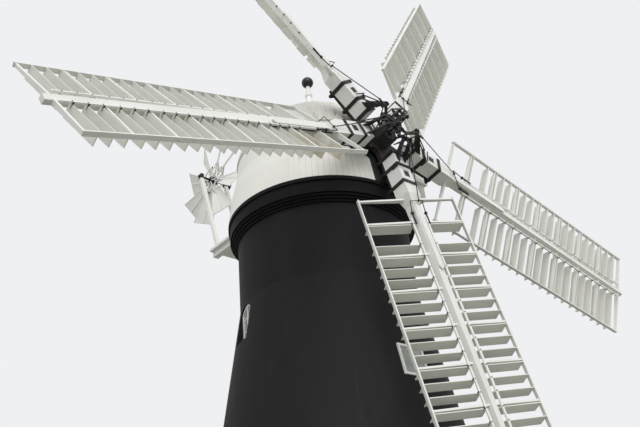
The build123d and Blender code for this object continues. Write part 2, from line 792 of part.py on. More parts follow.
# Bell cranks: one arm to the spider's link, one to the rod along the stock
crank_end = BRACKET_AT + CRANK_REACH
with BuildPart() as crank:
    with BuildSketch(Plane.YZ.offset(-CRANK_THICK / 2)):
        with Locations((BRACKET_AT, pivot_height)):
            Circle(42)
        with BuildLine():
            Polyline(
                (BRACKET_AT - 24, pivot_height),
                (BRACKET_AT - CRANK_REACH - CRANK_EYE, SPIDER_AT + CRANK_EYE),
                (BRACKET_AT - CRANK_REACH + CRANK_EYE, SPIDER_AT - CRANK_EYE),
                (BRACKET_AT + 24, pivot_height),
                close=True,
            )
        make_face()
        with BuildLine():
            Polyline(
                (BRACKET_AT, pivot_height - 24),
                (BRACKET_AT, pivot_height + 24),
                (crank_end, pivot_height + 16),
                (crank_end, pivot_height - 16),
                close=True,
            )
        make_face()
    extrude(amount=CRANK_THICK)
    with Locations((0, BRACKET_AT, pivot_height)):
        Cylinder(14, BRACKET_GAP, rotation=(0, 90, 0), mode=Mode.SUBTRACT)
with BuildPart() as bell_cranks:
    add(around_the_hub(crank.part))
save(bell_cranks.part, "bell_cranks")

# Striking rods: from each bell crank along the stock to a bridge between the shutter bars
bridge_height = SAIL_PLANE + WHIP_DEPTH / 2 + BRIDGE_GAP + BRIDGE_SIZE / 2
bar_ends = [
    along_bar(UPLONG_START, side).from_local_coords((UPLONG_AT, UPLONG_RISE + UPLONG_SIZE / 2, 0))
    for side, _ in SIDES
]
with BuildPart() as strike:
    with Locations(((bar_ends[0].X + bar_ends[1].X) / 2, UPLONG_START, bridge_height)):
        Box(
            bar_ends[0].X - bar_ends[1].X + BRIDGE_SIZE,
            BRIDGE_SIZE,
            BRIDGE_SIZE,
            align=(Align.CENTER, Align.MAX, Align.CENTER),
        )
    for end in bar_ends:
        with Locations((end.X, UPLONG_START, bridge_height)):
            Box(
                BRIDGE_SIZE,
                BRIDGE_SIZE,
                bridge_height - end.Z,
                align=(Align.CENTER, Align.MAX, Align.MAX),
            )
    start = Vector(0, crank_end + STRIKE_ROD_R, pivot_height)
    run = Vector(0, UPLONG_START - BRIDGE_SIZE / 2, bridge_height) - start
    with BuildSketch(Plane(origin=start, x_dir=(1, 0, 0), z_dir=run)):
        Circle(STRIKE_ROD_R)
    extrude(amount=run.length)
    with Locations(start):
        Box(CRANK_THICK, 2 * STRIKE_ROD_R, 2 * STRIKE_ROD_R)
with BuildPart() as striking_rods:
    add(around_the_hub(strike.part))
save(striking_rods.part, "striking_rods")

# Fan stage on the tail beams, with the raking posts that hold the fan
with BuildPart() as tail_beams:
    for side in (-1, 1):
        with Locations((side * TAIL_BEAM_X, tail_bearer_front, tail_beam_bottom)):
            Box(
                TAIL_BEAM_WIDTH,
                STAGE_BACK - tail_bearer_front,
                TAIL_BEAM_DEPTH,
                align=(Align.CENTER, Align.MIN, Align.MIN),
            )
save(tail_beams.part, "tail_beams")

with BuildPart() as fan_stage:
    with Locations((0, STAGE_BACK, tail_beam_top)):
        Box(
            2 * STAGE_HALF,
            STAGE_BACK - SKIRT[0][0] + 60,
            STAGE_THICK,
            align=(Align.CENTER, Align.MAX, Align.MIN),
        )
save(fan_stage.part, "fan_stage")

stage_top = tail_beam_top + STAGE_THICK
bearing_bottom = FAN_Z - BEARING_SIDE / 2
with BuildPart() as fan_posts:
    lean = (FAN_Y - POST_FOOT_Y) / (FAN_Z - stage_top)
    top_y = POST_FOOT_Y + lean * (bearing_bottom - stage_top)
    for side in (-1, 1):
        with BuildSketch(Plane.YZ.offset(side * POST_X)):
            with BuildLine():
                Polyline(
                    (POST_FOOT_Y - POST_SIZE / 2, stage_top),
                    (POST_FOOT_Y + POST_SIZE / 2, stage_top),
                    (top_y + POST_SIZE / 2, bearing_bottom),
                    (top_y - POST_SIZE / 2, bearing_bottom),
                    close=True,
                )
            make_face()
        extrude(amount=POST_SIZE / 2, both=True)
save(fan_posts.part, "fan_posts")

with BuildPart() as fan_bearings:
    for side in (-1, 1):
        with Locations((side * POST_X, FAN_Y, FAN_Z)):
            Box(POST_SIZE, BEARING_SIDE, BEARING_SIDE)
    with BuildSketch(Plane.YZ.offset(-2 * POST_X)):
        with Locations((FAN_Y, FAN_Z)):
            Circle(FAN_SHAFT_R + JOURNAL_CLEARANCE)
    extrude(amount=4 * POST_X, mode=Mode.SUBTRACT)
save(fan_bearings.part, "fan_bearings")

# Fan: shaft, eight-sided hub and eight pitched blades on spars
with BuildPart() as fan_shaft:
    with BuildSketch(Plane.YZ.offset(-POST_X - POST_SIZE)):
        with Locations((FAN_Y, FAN_Z)):
            Circle(FAN_SHAFT_R)
    extrude(amount=2 * (POST_X + POST_SIZE) + GEAR_OUT)
save(fan_shaft.part, "fan_shaft")

fan_plane = Plane(origin=(0, FAN_Y, FAN_Z), x_dir=(0, 1, 0), z_dir=(1, 0, 0))
with BuildPart() as fan_hub:
    with BuildSketch(fan_plane.offset(-FAN_HUB_LENGTH / 2)):
        RegularPolygon(
            FAN_HUB_R,
            FAN_BLADES,
            major_radius=False,
            rotation=FAN_FIRST + 180 / FAN_BLADES,
        )
        Circle(FAN_SHAFT_R, mode=Mode.SUBTRACT)
    extrude(amount=FAN_HUB_LENGTH)
save(fan_hub.part, "fan_hub")

with BuildPart() as fan_blades:
    for number in range(FAN_BLADES):
        blade_plane = turned(fan_plane, about_z=FAN_FIRST + 360 / FAN_BLADES * number)
        with BuildSketch(turned(blade_plane, about_x=-BLADE_PITCH)):
            with BuildLine():
                Polyline(
                    (BLADE_ROOT_R, -BLADE_ROOT / 2),
                    (FAN_RADIUS, -BLADE_TIP / 2),
                    (FAN_RADIUS, BLADE_TIP / 2),
                    (BLADE_ROOT_R, BLADE_ROOT / 2),
                    close=True,
                )
            make_face()
        extrude(amount=BLADE_THICK / 2, both=True)
        with BuildSketch(blade_plane):
            with Locations(((FAN_HUB_R + FAN_RADIUS - 40) / 2, 0)):
                Rectangle(FAN_RADIUS - 40 - FAN_HUB_R, SPAR_SIZE)
        extrude(amount=SPAR_SIZE / 2, both=True)
save(fan_blades.part, "fan_blades")
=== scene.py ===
# %% [markdown]
# # A brick tower mill with five sails
# The real mill is a black tarred brick tower under a white boarded cap. Five shuttered sails
# turn on a tilted shaft, and a small fan behind the cap keeps them facing the wind.
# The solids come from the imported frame. This script gives them their finishes, opens the
# shutters and adds the small things that repeat: straps, bolts, cranks, rods and glazing bars.

# %% Load the frame
import json
import math

import bpy
from mathutils import Matrix, Vector


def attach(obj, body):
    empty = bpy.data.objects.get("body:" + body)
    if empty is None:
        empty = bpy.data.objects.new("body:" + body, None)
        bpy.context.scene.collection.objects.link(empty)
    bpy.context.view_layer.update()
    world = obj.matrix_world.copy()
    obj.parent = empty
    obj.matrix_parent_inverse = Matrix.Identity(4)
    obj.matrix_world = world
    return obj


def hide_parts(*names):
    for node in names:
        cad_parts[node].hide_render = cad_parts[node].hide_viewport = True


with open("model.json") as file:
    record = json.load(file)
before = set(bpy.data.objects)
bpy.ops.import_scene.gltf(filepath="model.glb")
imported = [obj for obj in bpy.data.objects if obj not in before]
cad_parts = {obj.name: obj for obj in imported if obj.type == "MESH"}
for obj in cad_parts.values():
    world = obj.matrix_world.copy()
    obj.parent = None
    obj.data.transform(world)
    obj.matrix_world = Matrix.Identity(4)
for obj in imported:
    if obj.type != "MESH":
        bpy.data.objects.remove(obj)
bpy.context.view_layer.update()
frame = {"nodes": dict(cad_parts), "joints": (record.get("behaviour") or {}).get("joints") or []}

NODES = frame["nodes"]
JOINTS = {joint["name"]: joint for joint in frame["joints"]}


# %% [markdown]
# ## Where the sails are
# Every sail is the same piece turned about the windshaft, so its details are placed once in
# the sail's own directions: X across it, Y out towards the tip and Z out of its front. One
# matrix for each sail then moves them. The hub and its axis are read from the joint, so they
# can't drift away from the solids.

# %% Matrix of one sail
SAIL_COUNT = 5
FIRST_SAIL = math.radians(38.45)
HUB = Vector(JOINTS["sails_turn"]["pos_m"])
SHAFT = Vector(JOINTS["sails_turn"]["axis"]).normalized()
ACROSS = Vector((1, 0, 0))
STOCK_HALF_WIDTH = 0.21
# Along the shaft from the hub, forwards positive
SAIL_PLANE = -0.318
STOCK_FRONT = -0.123
ARM_BACK = -0.628


def sail_matrix(number):
    """Moves a piece drawn in a sail's own directions onto that sail."""
    turn = FIRST_SAIL + math.tau / SAIL_COUNT * number
    up = SHAFT.cross(ACROSS)
    x = ACROSS * math.cos(turn) + up * math.sin(turn)
    y = up * math.cos(turn) - ACROSS * math.sin(turn)
    axes = Matrix((x, y, SHAFT)).transposed()
    return Matrix.Translation(HUB) @ axes.to_4x4()


print("hub", tuple(round(value, 3) for value in HUB))

# %% [markdown]
# ## Writing shader maths as sums
# A finish is a web of small nodes. To keep it readable, a Value stands for one output socket,
# and adding or multiplying Values adds the Math nodes. A Finish owns the material and makes
# every other node through one method, which sets the node's settings first and then its
# sockets, from numbers or from links.

# %% Value and Finish
class Value:
    """An output socket that can be used in sums."""

    def __init__(self, finish, socket):
        self.finish = finish
        self.socket = socket

    def math(self, operation, *others):
        return self.finish.node("ShaderNodeMath", {"operation": operation}, [self, *others])

    def reflected(self, operation, first):
        """The same with the other value first, as in 1 - mask."""
        return self.finish.node("ShaderNodeMath", {"operation": operation}, [first, self])

    def __add__(self, other):
        return self.math("ADD", other)

    def __sub__(self, other):
        return self.math("SUBTRACT", other)

    def __mul__(self, other):
        return self.math("MULTIPLY", other)

    def __truediv__(self, other):
        return self.math("DIVIDE", other)

    def __rsub__(self, other):
        return self.reflected("SUBTRACT", other)

    def __rtruediv__(self, other):
        return self.reflected("DIVIDE", other)

    __radd__ = __add__
    __rmul__ = __mul__

    def step(self, low, high):
        """Smooth from 0 at low to 1 at high, which may be the smaller of the two."""
        return self.finish.node(
            "ShaderNodeMapRange",
            {"interpolation_type": "SMOOTHSTEP"},
            {"Value": self, "From Min": low, "From Max": high},
        )


class Finish:
    """One material, built from Object coordinates."""

    def __init__(self, name, turned=None):
        self.material = bpy.data.materials.new(name)
        self.material.use_nodes = True
        self.tree = self.material.node_tree
        self.shader = self.tree.nodes["Principled BSDF"]
        self.place = self.node("ShaderNodeTexCoord", output="Object")
        if turned is not None:
            inverse = turned.inverted()
            self.place = self.node(
                "ShaderNodeMapping",
                {"vector_type": "POINT"},
                {
                    "Vector": self.place,
                    "Location": inverse.to_translation(),
                    "Rotation": inverse.to_euler(),
                },
            )

    def node(self, kind, settings=None, inputs=None, output=0):
        made = self.tree.nodes.new(kind)
        for key, value in (settings or {}).items():
            setattr(made, key, value)
        pairs = inputs.items() if isinstance(inputs, dict) else enumerate(inputs or [])
        for key, value in pairs:
            if isinstance(value, Value):
                self.tree.links.new(value.socket, made.inputs[key])
            else:
                made.inputs[key].default_value = value
        return Value(self, made.outputs[output])

    def xyz(self):
        """The three coordinates, each as a Value."""
        return [self.node("ShaderNodeSeparateXYZ", None, [self.place], axis) for axis in range(3)]

    def vector(self, x, y, z):
        return self.node("ShaderNodeCombineXYZ", None, [x, y, z])

    def noise(self, scale, stretch=(1, 1, 1), detail=4.0):
        """Noise from 0 to 1, drawn out along an axis where stretch is small."""
        place = self.node(
            "ShaderNodeVectorMath", {"operation": "MULTIPLY"}, [self.place, stretch]
        )
        return self.node(
            "ShaderNodeTexNoise", None, {"Vector": place, "Scale": scale, "Detail": detail}
        )

    def blend(self, share, first, second):
        """A colour between two colours."""
        return self.node(
            "ShaderNodeMix", {"data_type": "RGBA"}, {0: share, 6: first, 7: second}, output=2
        )

    def lift(self, height, depth, strength=1.0):
        """Turns a height from 0 to 1 into a normal, depth metres deep."""
        return self.node(
            "ShaderNodeBump", None, {"Height": height, "Distance": depth, "Strength": strength}
        )

    def joints(self, along, width, share):
        """Board joints: 1 on each joint, and a random tone for each board."""
        count = along / width
        edge = (count.math("FRACT") - 0.5).math("ABSOLUTE").step(0.5 - share, 0.5 - share / 3)
        tone = self.node(
            "ShaderNodeTexWhiteNoise", {"noise_dimensions": "1D"}, {"W": count.math("FLOOR")}
        )
        return edge, tone

    def finished(self, **sockets):
        """Sets the shader's sockets, named with underscores for spaces."""
        for key, value in sockets.items():
            socket = self.shader.inputs[key.replace("_", " ")]
            if isinstance(value, Value):
                self.tree.links.new(value.socket, socket)
            else:
                socket.default_value = value
        return self.material


def colour(red, green, blue):
    return (red, green, blue, 1.0)


print("shader helpers ready")

# %% [markdown]
# ## Tarred brick
# The tower is brick under many coats of black tar paint. From the ground it reads as smooth
# and black, with the courses just showing where the light rakes them. The brick pattern is
# wrapped round the tower: the angle times a fixed radius runs along the course, and height
# runs up. A whole number of bricks fits the round, so no seam shows at the back.

# %% Tarred brick
BRICK_LENGTH = 0.225
COURSE_HEIGHT = 0.075
BRICKS_ROUND = 80
WALL_UNROLL = BRICKS_ROUND * BRICK_LENGTH / math.tau
TAR_BLACK = (0.0130, 0.0118, 0.0136)
TAR_WORN = (0.0215, 0.0198, 0.0215)
TAR_RUN = (0.044, 0.042, 0.042)


def toned(base, tone):
    return colour(*(value * tone for value in base))


def tarred_brick(name, tone):
    """Tar over brick, its colours times the tone."""
    wall = Finish(name)
    x, y, z = wall.xyz()
    along = x.math("ARCTAN2", y * -1.0) * WALL_UNROLL
    joint = wall.node(
        "ShaderNodeTexBrick",
        {"offset": 0.5},
        {
            "Vector": wall.vector(along, z, 0.0),
            "Scale": 1.0,
            "Mortar Size": 0.006,
            "Mortar Smooth": 0.5,
            "Brick Width": BRICK_LENGTH,
            "Row Height": COURSE_HEIGHT,
        },
        output="Fac",
    )
    pits = wall.noise(34.0)
    weather = wall.noise(0.7, (1, 1, 0.35)).step(0.4, 0.75)
    runs = wall.noise(5.0, (1, 1, 0.06)).step(0.58, 0.78)
    tar = wall.blend(weather, toned(TAR_BLACK, tone), toned(TAR_WORN, tone))
    tar = wall.blend(runs * 0.30, tar, toned(TAR_RUN, tone))
    height = (1.0 - joint) * 0.7 + pits * 0.3
    return wall.finished(
        Base_Color=tar,
        Roughness=0.66 + weather * 0.16,
        Specular_IOR_Level=0.16,
        Normal=wall.lift(height, 0.006, 0.55),
    )


TARRED_BRICK = tarred_brick("tarred_brick_coat", 1.0)
# The cornice takes the same tar at under half the tone.
DARK_CORNICE_TAR = tarred_brick("dark_cornice_tar_coat", 0.45)
print("bricks round the tower", BRICKS_ROUND)

# %% [markdown]
# ## White boards of the cap
# The cap is clad in upright boards that narrow towards the top of the dome. Dividing the
# angle round the cap into equal parts gives just that, so one finish serves the skirt and the
# dome. The joints hardly show, except at the front, where dirt runs down beside the breast.

# %% Cap boards
CAP_BOARDS = 104
CAP_WHITE = colour(0.87, 0.855, 0.805)
CAP_GREY = colour(0.75, 0.725, 0.66)
CAP_DIRT = colour(0.24, 0.225, 0.18)
# Places where the dirt begins and where it is full
DIRTY_FRONT = (-1.0, -2.0)
DIRTY_HEIGHT = (11.6, 12.3)


def cap_boards():
    cap = Finish("cap_boards_paint")
    x, y, z = cap.xyz()
    angle = x.math("ARCTAN2", y * -1.0)
    edge, tone = cap.joints(angle, math.tau / CAP_BOARDS, 0.035)
    runs = cap.noise(9.0, (1, 1, 0.06), 3.0).step(0.55, 0.68)
    front = y.step(*DIRTY_FRONT)
    drip = z.step(*DIRTY_HEIGHT)
    patches = cap.noise(1.3).step(0.45, 0.8)
    paint = cap.blend(tone * 0.10 + patches * 0.20, CAP_WHITE, CAP_GREY)
    paint = cap.blend(front * 0.25, paint, CAP_GREY)
    paint = cap.blend(runs * front * drip * 0.6, paint, CAP_DIRT)
    paint = cap.blend(edge * (front * 0.45 + 0.10), paint, CAP_DIRT)
    return cap.finished(
        Base_Color=paint,
        Roughness=0.46 + patches * 0.2,
        Normal=cap.lift(1.0 - edge, 0.004, 0.5),
    )


CAP_PAINT = cap_boards()
print("boards round the cap", CAP_BOARDS)

# %% [markdown]
# ## Painted timber
# The sails, sheers and fan stage are gloss-painted pine. What tells paint from plastic is the
# grain that prints through it, the grey weathering in large soft patches and the dirt that
# collects in short runs. The grain follows the wood, so each sail turns the pattern into its
# own directions with a Mapping node.

# %% Painted timber
TIMBER_WHITE = colour(0.83, 0.825, 0.79)
TIMBER_GREY = colour(0.66, 0.655, 0.60)
TIMBER_DIRT = colour(0.36, 0.35, 0.29)
TIMBER_STAIN = colour(0.45, 0.36, 0.22)
# Places on a sail where the stain begins and where it is full
STAIN_OUT = (4.3, 3.3)
STAIN_ACROSS = (0.0, -0.1)
# Noise scales that draw the grain out along one axis
GRAIN_X = (0.9, 14, 14)
GRAIN_Y = (14, 0.9, 14)
GRAIN_Z = (14, 14, 0.9)


def painted_timber(name, turned=None, grain=GRAIN_Y, white=TIMBER_WHITE, stained=0.0):
    """Painted wood, with a share of brown stain on the first shutters of the leading side."""
    timber = Finish(name, turned)
    fibres = timber.noise(3.0, grain, 6.0)
    patches = timber.noise(1.1).step(0.40, 0.78)
    specks = timber.noise(9.0, (1, 0.5, 1)).step(0.62, 0.80)
    paint = timber.blend(patches * 0.5, white, TIMBER_GREY)
    paint = timber.blend(fibres.step(0.5, 0.85) * 0.22, paint, TIMBER_GREY)
    paint = timber.blend(specks * 0.28, paint, TIMBER_DIRT)
    if stained:
        across, out, _ = timber.xyz()
        heel = out.step(*STAIN_OUT) * across.step(*STAIN_ACROSS)
        blotches = timber.noise(2.6).step(0.30, 0.62)
        paint = timber.blend(heel * blotches * stained, paint, TIMBER_STAIN)
    return timber.finished(
        Base_Color=paint,
        Roughness=0.40 + patches * 0.22,
        Normal=timber.lift(fibres, 0.002, 0.5),
    )


SAIL_TIMBER = [painted_timber(f"sail_timber_{n + 1}", sail_matrix(n)) for n in range(SAIL_COUNT)]
# The shutters' greyer white is painted shade, for faces that turn down away from the sky.
SHUTTER_SHADED_WHITE = colour(0.77, 0.765, 0.71)
STAIN_SHARES = (0.0, 0.8, 0.0, 0.0, 0.0)  # one for each sail
SHUTTER_PAINT = [
    painted_timber(f"shutter_paint_{n + 1}", sail_matrix(n), GRAIN_X, SHUTTER_SHADED_WHITE, share)
    for n, share in enumerate(STAIN_SHARES)
]
STAGE_TIMBER = painted_timber("stage_timber", None, GRAIN_Y)
POST_TIMBER = painted_timber("post_timber", None, GRAIN_Z)
print("timber finishes", len(SAIL_TIMBER) + len(SHUTTER_PAINT) + 2)

# %% [markdown]
# ## Iron
# The cross, straps and striking gear are black-painted cast and wrought iron. The paint is
# thin, so rust stains it brown in patches. The windshaft behind the cross is the same iron
# with less paint and more rust, which is why it reads as a dark grey-brown.

# %% Iron
def iron(name, black, rust, share, roughness):
    """Black paint, with rust showing through a share of it."""
    metal = Finish(name)
    stains = metal.noise(6.5, (1, 1, 1), 6.0).step(0.52, 0.74)
    cast = metal.noise(60.0, (1, 1, 1), 3.0)
    skin = metal.blend(stains * share, black, rust)
    return metal.finished(
        Base_Color=skin,
        Roughness=roughness + stains * 0.25,
        Specular_IOR_Level=0.4,
        Normal=metal.lift(cast, 0.002, 0.5),
    )


BLACK_IRON = iron(
    "black_iron_paint", colour(0.012, 0.012, 0.013), colour(0.06, 0.03, 0.018), 0.35, 0.42
)
SHAFT_IRON = iron(
    "shaft_iron_skin", colour(0.018, 0.015, 0.014), colour(0.085, 0.042, 0.026), 0.6, 0.6
)
print("iron finishes", BLACK_IRON.name, SHAFT_IRON.name)

# %% [markdown]
# ## Black boards, glass and the plain woods
# The breast is boarded like the rest of the cap, but upright and black. The window glass is
# old and slightly wavy. Inside are pine floors on the wall ledges and a brick ground floor,
# which show only when the mill is taken apart, yet still deserve a grain of their own.

# %% Boards, glass and floors
JOINT_SHADOW = colour(0.01, 0.01, 0.01)


def boards(name, axis, width, paint_colour, roughness, grain):
    """Boards side by side along one axis."""
    wood = Finish(name)
    edge, tone = wood.joints(wood.xyz()[axis], width, 0.04)
    fibres = wood.noise(3.0, grain, 6.0)
    dulled = tuple(value * 0.72 for value in paint_colour[:3]) + (1.0,)
    skin = wood.blend(tone * 0.35 + fibres * 0.35, paint_colour, dulled)
    skin = wood.blend(edge * 0.85, skin, JOINT_SHADOW)
    return wood.finished(
        Base_Color=skin,
        Roughness=roughness + fibres * 0.15,
        Normal=wood.lift((1.0 - edge) * 0.8 + fibres * 0.2, 0.006, 0.8),
    )


BREAST_BOARDS = boards("breast_boards", 0, 0.15, colour(0.016, 0.016, 0.018), 0.5, (14, 14, 1))
FLOOR_BOARDS = boards("floor_boards_pine", 0, 0.18, colour(0.42, 0.29, 0.17), 0.6, (14, 1, 14))
OAK = boards("rough_oak", 2, 0.4, colour(0.27, 0.19, 0.11), 0.65, (2, 2, 14))
DOOR_BOARDS = boards("door_boards", 1, 0.12, colour(0.74, 0.73, 0.70), 0.42, (14, 14, 1))
DOME_BALL = iron(
    "ball_gloss_paint", colour(0.012, 0.012, 0.014), colour(0.03, 0.03, 0.03), 0.3, 0.25
)


def window_glass():
    glass = Finish("window_glass_old")
    waves = glass.noise(5.0, (1, 1, 0.5), 2.0)
    dust = glass.noise(2.2).step(0.4, 0.8)
    # Pale grey-green: painted reflection of the bright sky, with paler dust in patches.
    sky_sheen_and_dust = glass.blend(dust * 0.5, colour(0.30, 0.33, 0.31), colour(0.46, 0.48, 0.44))
    return glass.finished(
        Base_Color=sky_sheen_and_dust,
        Roughness=0.06 + dust * 0.12,
        Normal=glass.lift(waves, 0.004, 0.4),
    )


PAVING_COURSE = 0.11


def brick_paving():
    paving = Finish("brick_paving")
    joint = paving.node(
        "ShaderNodeTexBrick",
        {"offset": 0.5},
        {
            "Vector": paving.place,
            "Scale": 1.0,
            "Mortar Size": 0.006,
            "Brick Width": BRICK_LENGTH,
            "Row Height": PAVING_COURSE,
        },
        output="Fac",
    )
    wear = paving.noise(7.0)
    clay = paving.blend(wear, colour(0.26, 0.10, 0.06), colour(0.36, 0.19, 0.13))
    clay = paving.blend(joint * 0.8, clay, colour(0.30, 0.27, 0.23))
    return paving.finished(
        Base_Color=clay,
        Roughness=0.8,
        Normal=paving.lift(1.0 - joint, 0.004, 0.6),
    )


GLASS = window_glass()
PAVING = brick_paving()
print("glass and floors ready")

# %% [markdown]
# ## Dressing the solids
# Each solid swaps its material. The names of the nodes on a sail end in the sail's number, and
# that picks the finish turned to that sail.

# %% Give each solid its finish
SINGLE_FINISHES = {
    "ground_floor": PAVING, "upper_floors": FLOOR_BOARDS, "cornice": DARK_CORNICE_TAR,
    "curb": BLACK_IRON, "window_frames": POST_TIMBER, "window_panes": GLASS,
    "door_frames": POST_TIMBER, "doors": DOOR_BOARDS, "cap_ring": OAK, "skirt": CAP_PAINT,
    "dome": CAP_PAINT, "finial": POST_TIMBER, "finial_ball": DOME_BALL, "breast": BREAST_BOARDS,
    "sheers": STAGE_TIMBER, "shaft_beams": OAK, "shaft_bearings": BLACK_IRON,
    "windshaft": SHAFT_IRON, "iron_cross": SHAFT_IRON, "stock_straps": BLACK_IRON,
    "spider": BLACK_IRON, "crank_brackets": BLACK_IRON, "bell_cranks": BLACK_IRON,
    "striking_rods": BLACK_IRON, "shutter_bars": STAGE_TIMBER, "tail_beams": STAGE_TIMBER,
    "fan_stage": STAGE_TIMBER, "fan_posts": POST_TIMBER, "fan_bearings": BLACK_IRON,
    "fan_shaft": BLACK_IRON, "fan_hub": BLACK_IRON, "fan_blades": POST_TIMBER,
}


def finish_for(node):
    """The finish of a node, from its name."""
    if node in SINGLE_FINISHES:
        return SINGLE_FINISHES[node]
    if "_wall_" in node:
        return TARRED_BRICK
    number = int(node.rsplit("_", 1)[1]) - 1
    return SHUTTER_PAINT[number] if node.startswith("shutters") else SAIL_TIMBER[number]


for node_name, solid in NODES.items():
    solid.data.materials.clear()
    solid.data.materials.append(finish_for(node_name))
print("solids dressed", len(NODES))

# %% [markdown]
# ## Three small node trees
# Nearly every small thing on the mill is one of three: a bolt head, a straight bar or a rod.
# Each gets a Geometry Nodes tree. The first two put a shape on points that carry their own
# turn and size, and the third sweeps a circle along edges. All end by realizing what they
# made and setting its material, because an exported mesh can't hold instances.

# %% Trees for bolts, bars and rods
def new_tree(name, inputs):
    """A tree with a geometry input, the named inputs and a geometry output."""
    tree = bpy.data.node_groups.new(name, "GeometryNodeTree")
    tree.interface.new_socket("Geometry", in_out="INPUT", socket_type="NodeSocketGeometry")
    for label, kind in inputs:
        tree.interface.new_socket(label, in_out="INPUT", socket_type=kind)
    tree.interface.new_socket("Geometry", in_out="OUTPUT", socket_type="NodeSocketGeometry")
    return tree, tree.nodes.new("NodeGroupInput"), tree.nodes.new("NodeGroupOutput")


def end_tree(tree, source, end, geometry):
    """Realizes what the tree made, sets its material and ends the tree."""
    realize = tree.nodes.new("GeometryNodeRealizeInstances")
    material = tree.nodes.new("GeometryNodeSetMaterial")
    tree.links.new(geometry, realize.inputs[0])
    tree.links.new(realize.outputs[0], material.inputs["Geometry"])
    tree.links.new(source.outputs["Material"], material.inputs["Material"])
    tree.links.new(material.outputs[0], end.inputs[0])


def named_vector(tree, name):
    attribute = tree.nodes.new("GeometryNodeInputNamedAttribute")
    attribute.data_type = "FLOAT_VECTOR"
    attribute.inputs["Name"].default_value = name
    return attribute.outputs["Attribute"]


def placed_shapes(tree, source, shape):
    """One copy of the shape on each point, with the point's turn and size."""
    rotation = tree.nodes.new("FunctionNodeEulerToRotation")
    place = tree.nodes.new("GeometryNodeInstanceOnPoints")
    tree.links.new(named_vector(tree, "turn"), rotation.inputs[0])
    tree.links.new(source.outputs["Geometry"], place.inputs["Points"])
    tree.links.new(shape, place.inputs["Instance"])
    tree.links.new(rotation.outputs[0], place.inputs["Rotation"])
    tree.links.new(named_vector(tree, "size"), place.inputs["Scale"])
    return place.outputs[0]


def bolt_tree():
    inputs = [("Sides", "NodeSocketInt"), ("Material", "NodeSocketMaterial")]
    tree, source, end = new_tree("bolt_heads", inputs)
    head = tree.nodes.new("GeometryNodeMeshCylinder")
    tree.links.new(source.outputs["Sides"], head.inputs["Vertices"])
    head.inputs["Radius"].default_value = 1.0
    head.inputs["Depth"].default_value = 1.0
    end_tree(tree, source, end, placed_shapes(tree, source, head.outputs["Mesh"]))
    return tree


def bar_tree():
    tree, source, end = new_tree("straight_bars", [("Material", "NodeSocketMaterial")])
    bar = tree.nodes.new("GeometryNodeMeshCube")
    end_tree(tree, source, end, placed_shapes(tree, source, bar.outputs["Mesh"]))
    return tree


def rod_tree():
    inputs = [
        ("Radius", "NodeSocketFloat"),
        ("Sides", "NodeSocketInt"),
        ("Material", "NodeSocketMaterial"),
    ]
    tree, source, end = new_tree("round_rods", inputs)
    line = tree.nodes.new("GeometryNodeMeshToCurve")
    ring = tree.nodes.new("GeometryNodeCurvePrimitiveCircle")
    sweep = tree.nodes.new("GeometryNodeCurveToMesh")
    sweep.inputs["Fill Caps"].default_value = True
    tree.links.new(source.outputs["Geometry"], line.inputs["Mesh"])
    tree.links.new(source.outputs["Radius"], ring.inputs["Radius"])
    tree.links.new(source.outputs["Sides"], ring.inputs["Resolution"])
    tree.links.new(line.outputs["Curve"], sweep.inputs["Curve"])
    tree.links.new(ring.outputs["Curve"], sweep.inputs["Profile Curve"])
    end_tree(tree, source, end, sweep.outputs["Mesh"])
    return tree


BOLTS = bolt_tree()
BARS = bar_tree()
RODS = rod_tree()
print("trees", BOLTS.name, BARS.name, RODS.name)

# %% [markdown]
# ## From tree to mesh
# A modifier's inputs are set by their identifiers, before the object is first evaluated. The
# evaluated object is then turned into a plain mesh that rides on its body, and the modifier
# goes away with the helper object that carried it.

# %% Make, place and finish a piece
def grown(name, mesh, tree, body, inputs):
    """Runs a tree on a mesh and keeps the result as a plain piece."""
    helper = bpy.data.objects.new(name + "_helper", mesh)
    bpy.context.scene.collection.objects.link(helper)
    modifier = helper.modifiers.new("tree", "NODES")
    modifier.node_group = tree
    for item in tree.interface.items_tree:
        if item.in_out == "INPUT" and item.name in inputs:
            modifier[item.identifier] = inputs[item.name]
    bpy.context.view_layer.update()
    evaluated = helper.evaluated_get(bpy.context.evaluated_depsgraph_get())
    result = bpy.data.meshes.new_from_object(evaluated)
    bpy.data.objects.remove(helper)
    piece = bpy.data.objects.new(name, result)
    bpy.context.scene.collection.objects.link(piece)
    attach(piece, body)
    print(name, "faces", len(result.polygons))
    return piece


def point_mesh(name, placed):
    """Points that carry a turn and a size, from (matrix, size) pairs."""
    mesh = bpy.data.meshes.new(name + "_points")
    mesh.from_pydata([matrix.to_translation() for matrix, _ in placed], [], [])
    turns = mesh.attributes.new("turn", "FLOAT_VECTOR", "POINT")
    sizes = mesh.attributes.new("size", "FLOAT_VECTOR", "POINT")
    for index, (matrix, size) in enumerate(placed):
        turns.data[index].vector = matrix.to_euler()
        sizes.data[index].vector = size
    return mesh


def line_mesh(name, runs):
    """Edges along runs of points."""
    mesh = bpy.data.meshes.new(name + "_runs")
    points = []
    edges = []
    for run in runs:
        first = len(points)
        points += run
        edges += [(first + step, first + step + 1) for step in range(len(run) - 1)]
    mesh.from_pydata(points, edges, [])
    return mesh


def on_sail(number, placed):
    """(matrix, size) pairs moved onto one sail."""
    return [(sail_matrix(number) @ matrix, size) for matrix, size in placed]


def on_each_sail(placed):
    """The same (matrix, size) pairs on all five sails."""
    return [pair for number in range(SAIL_COUNT) for pair in on_sail(number, placed)]


def runs_on_each_sail(runs):
    """The same runs of points on all five sails."""
    return [
        [sail_matrix(number) @ Vector(point) for point in run]
        for number in range(SAIL_COUNT)
        for run in runs
    ]


def standing(point, facing):
    """A turned place whose Z points out of a face."""
    turn = Vector(facing).to_track_quat("Z", "Y")
    return Matrix.Translation(Vector(point)) @ turn.to_matrix().to_4x4()


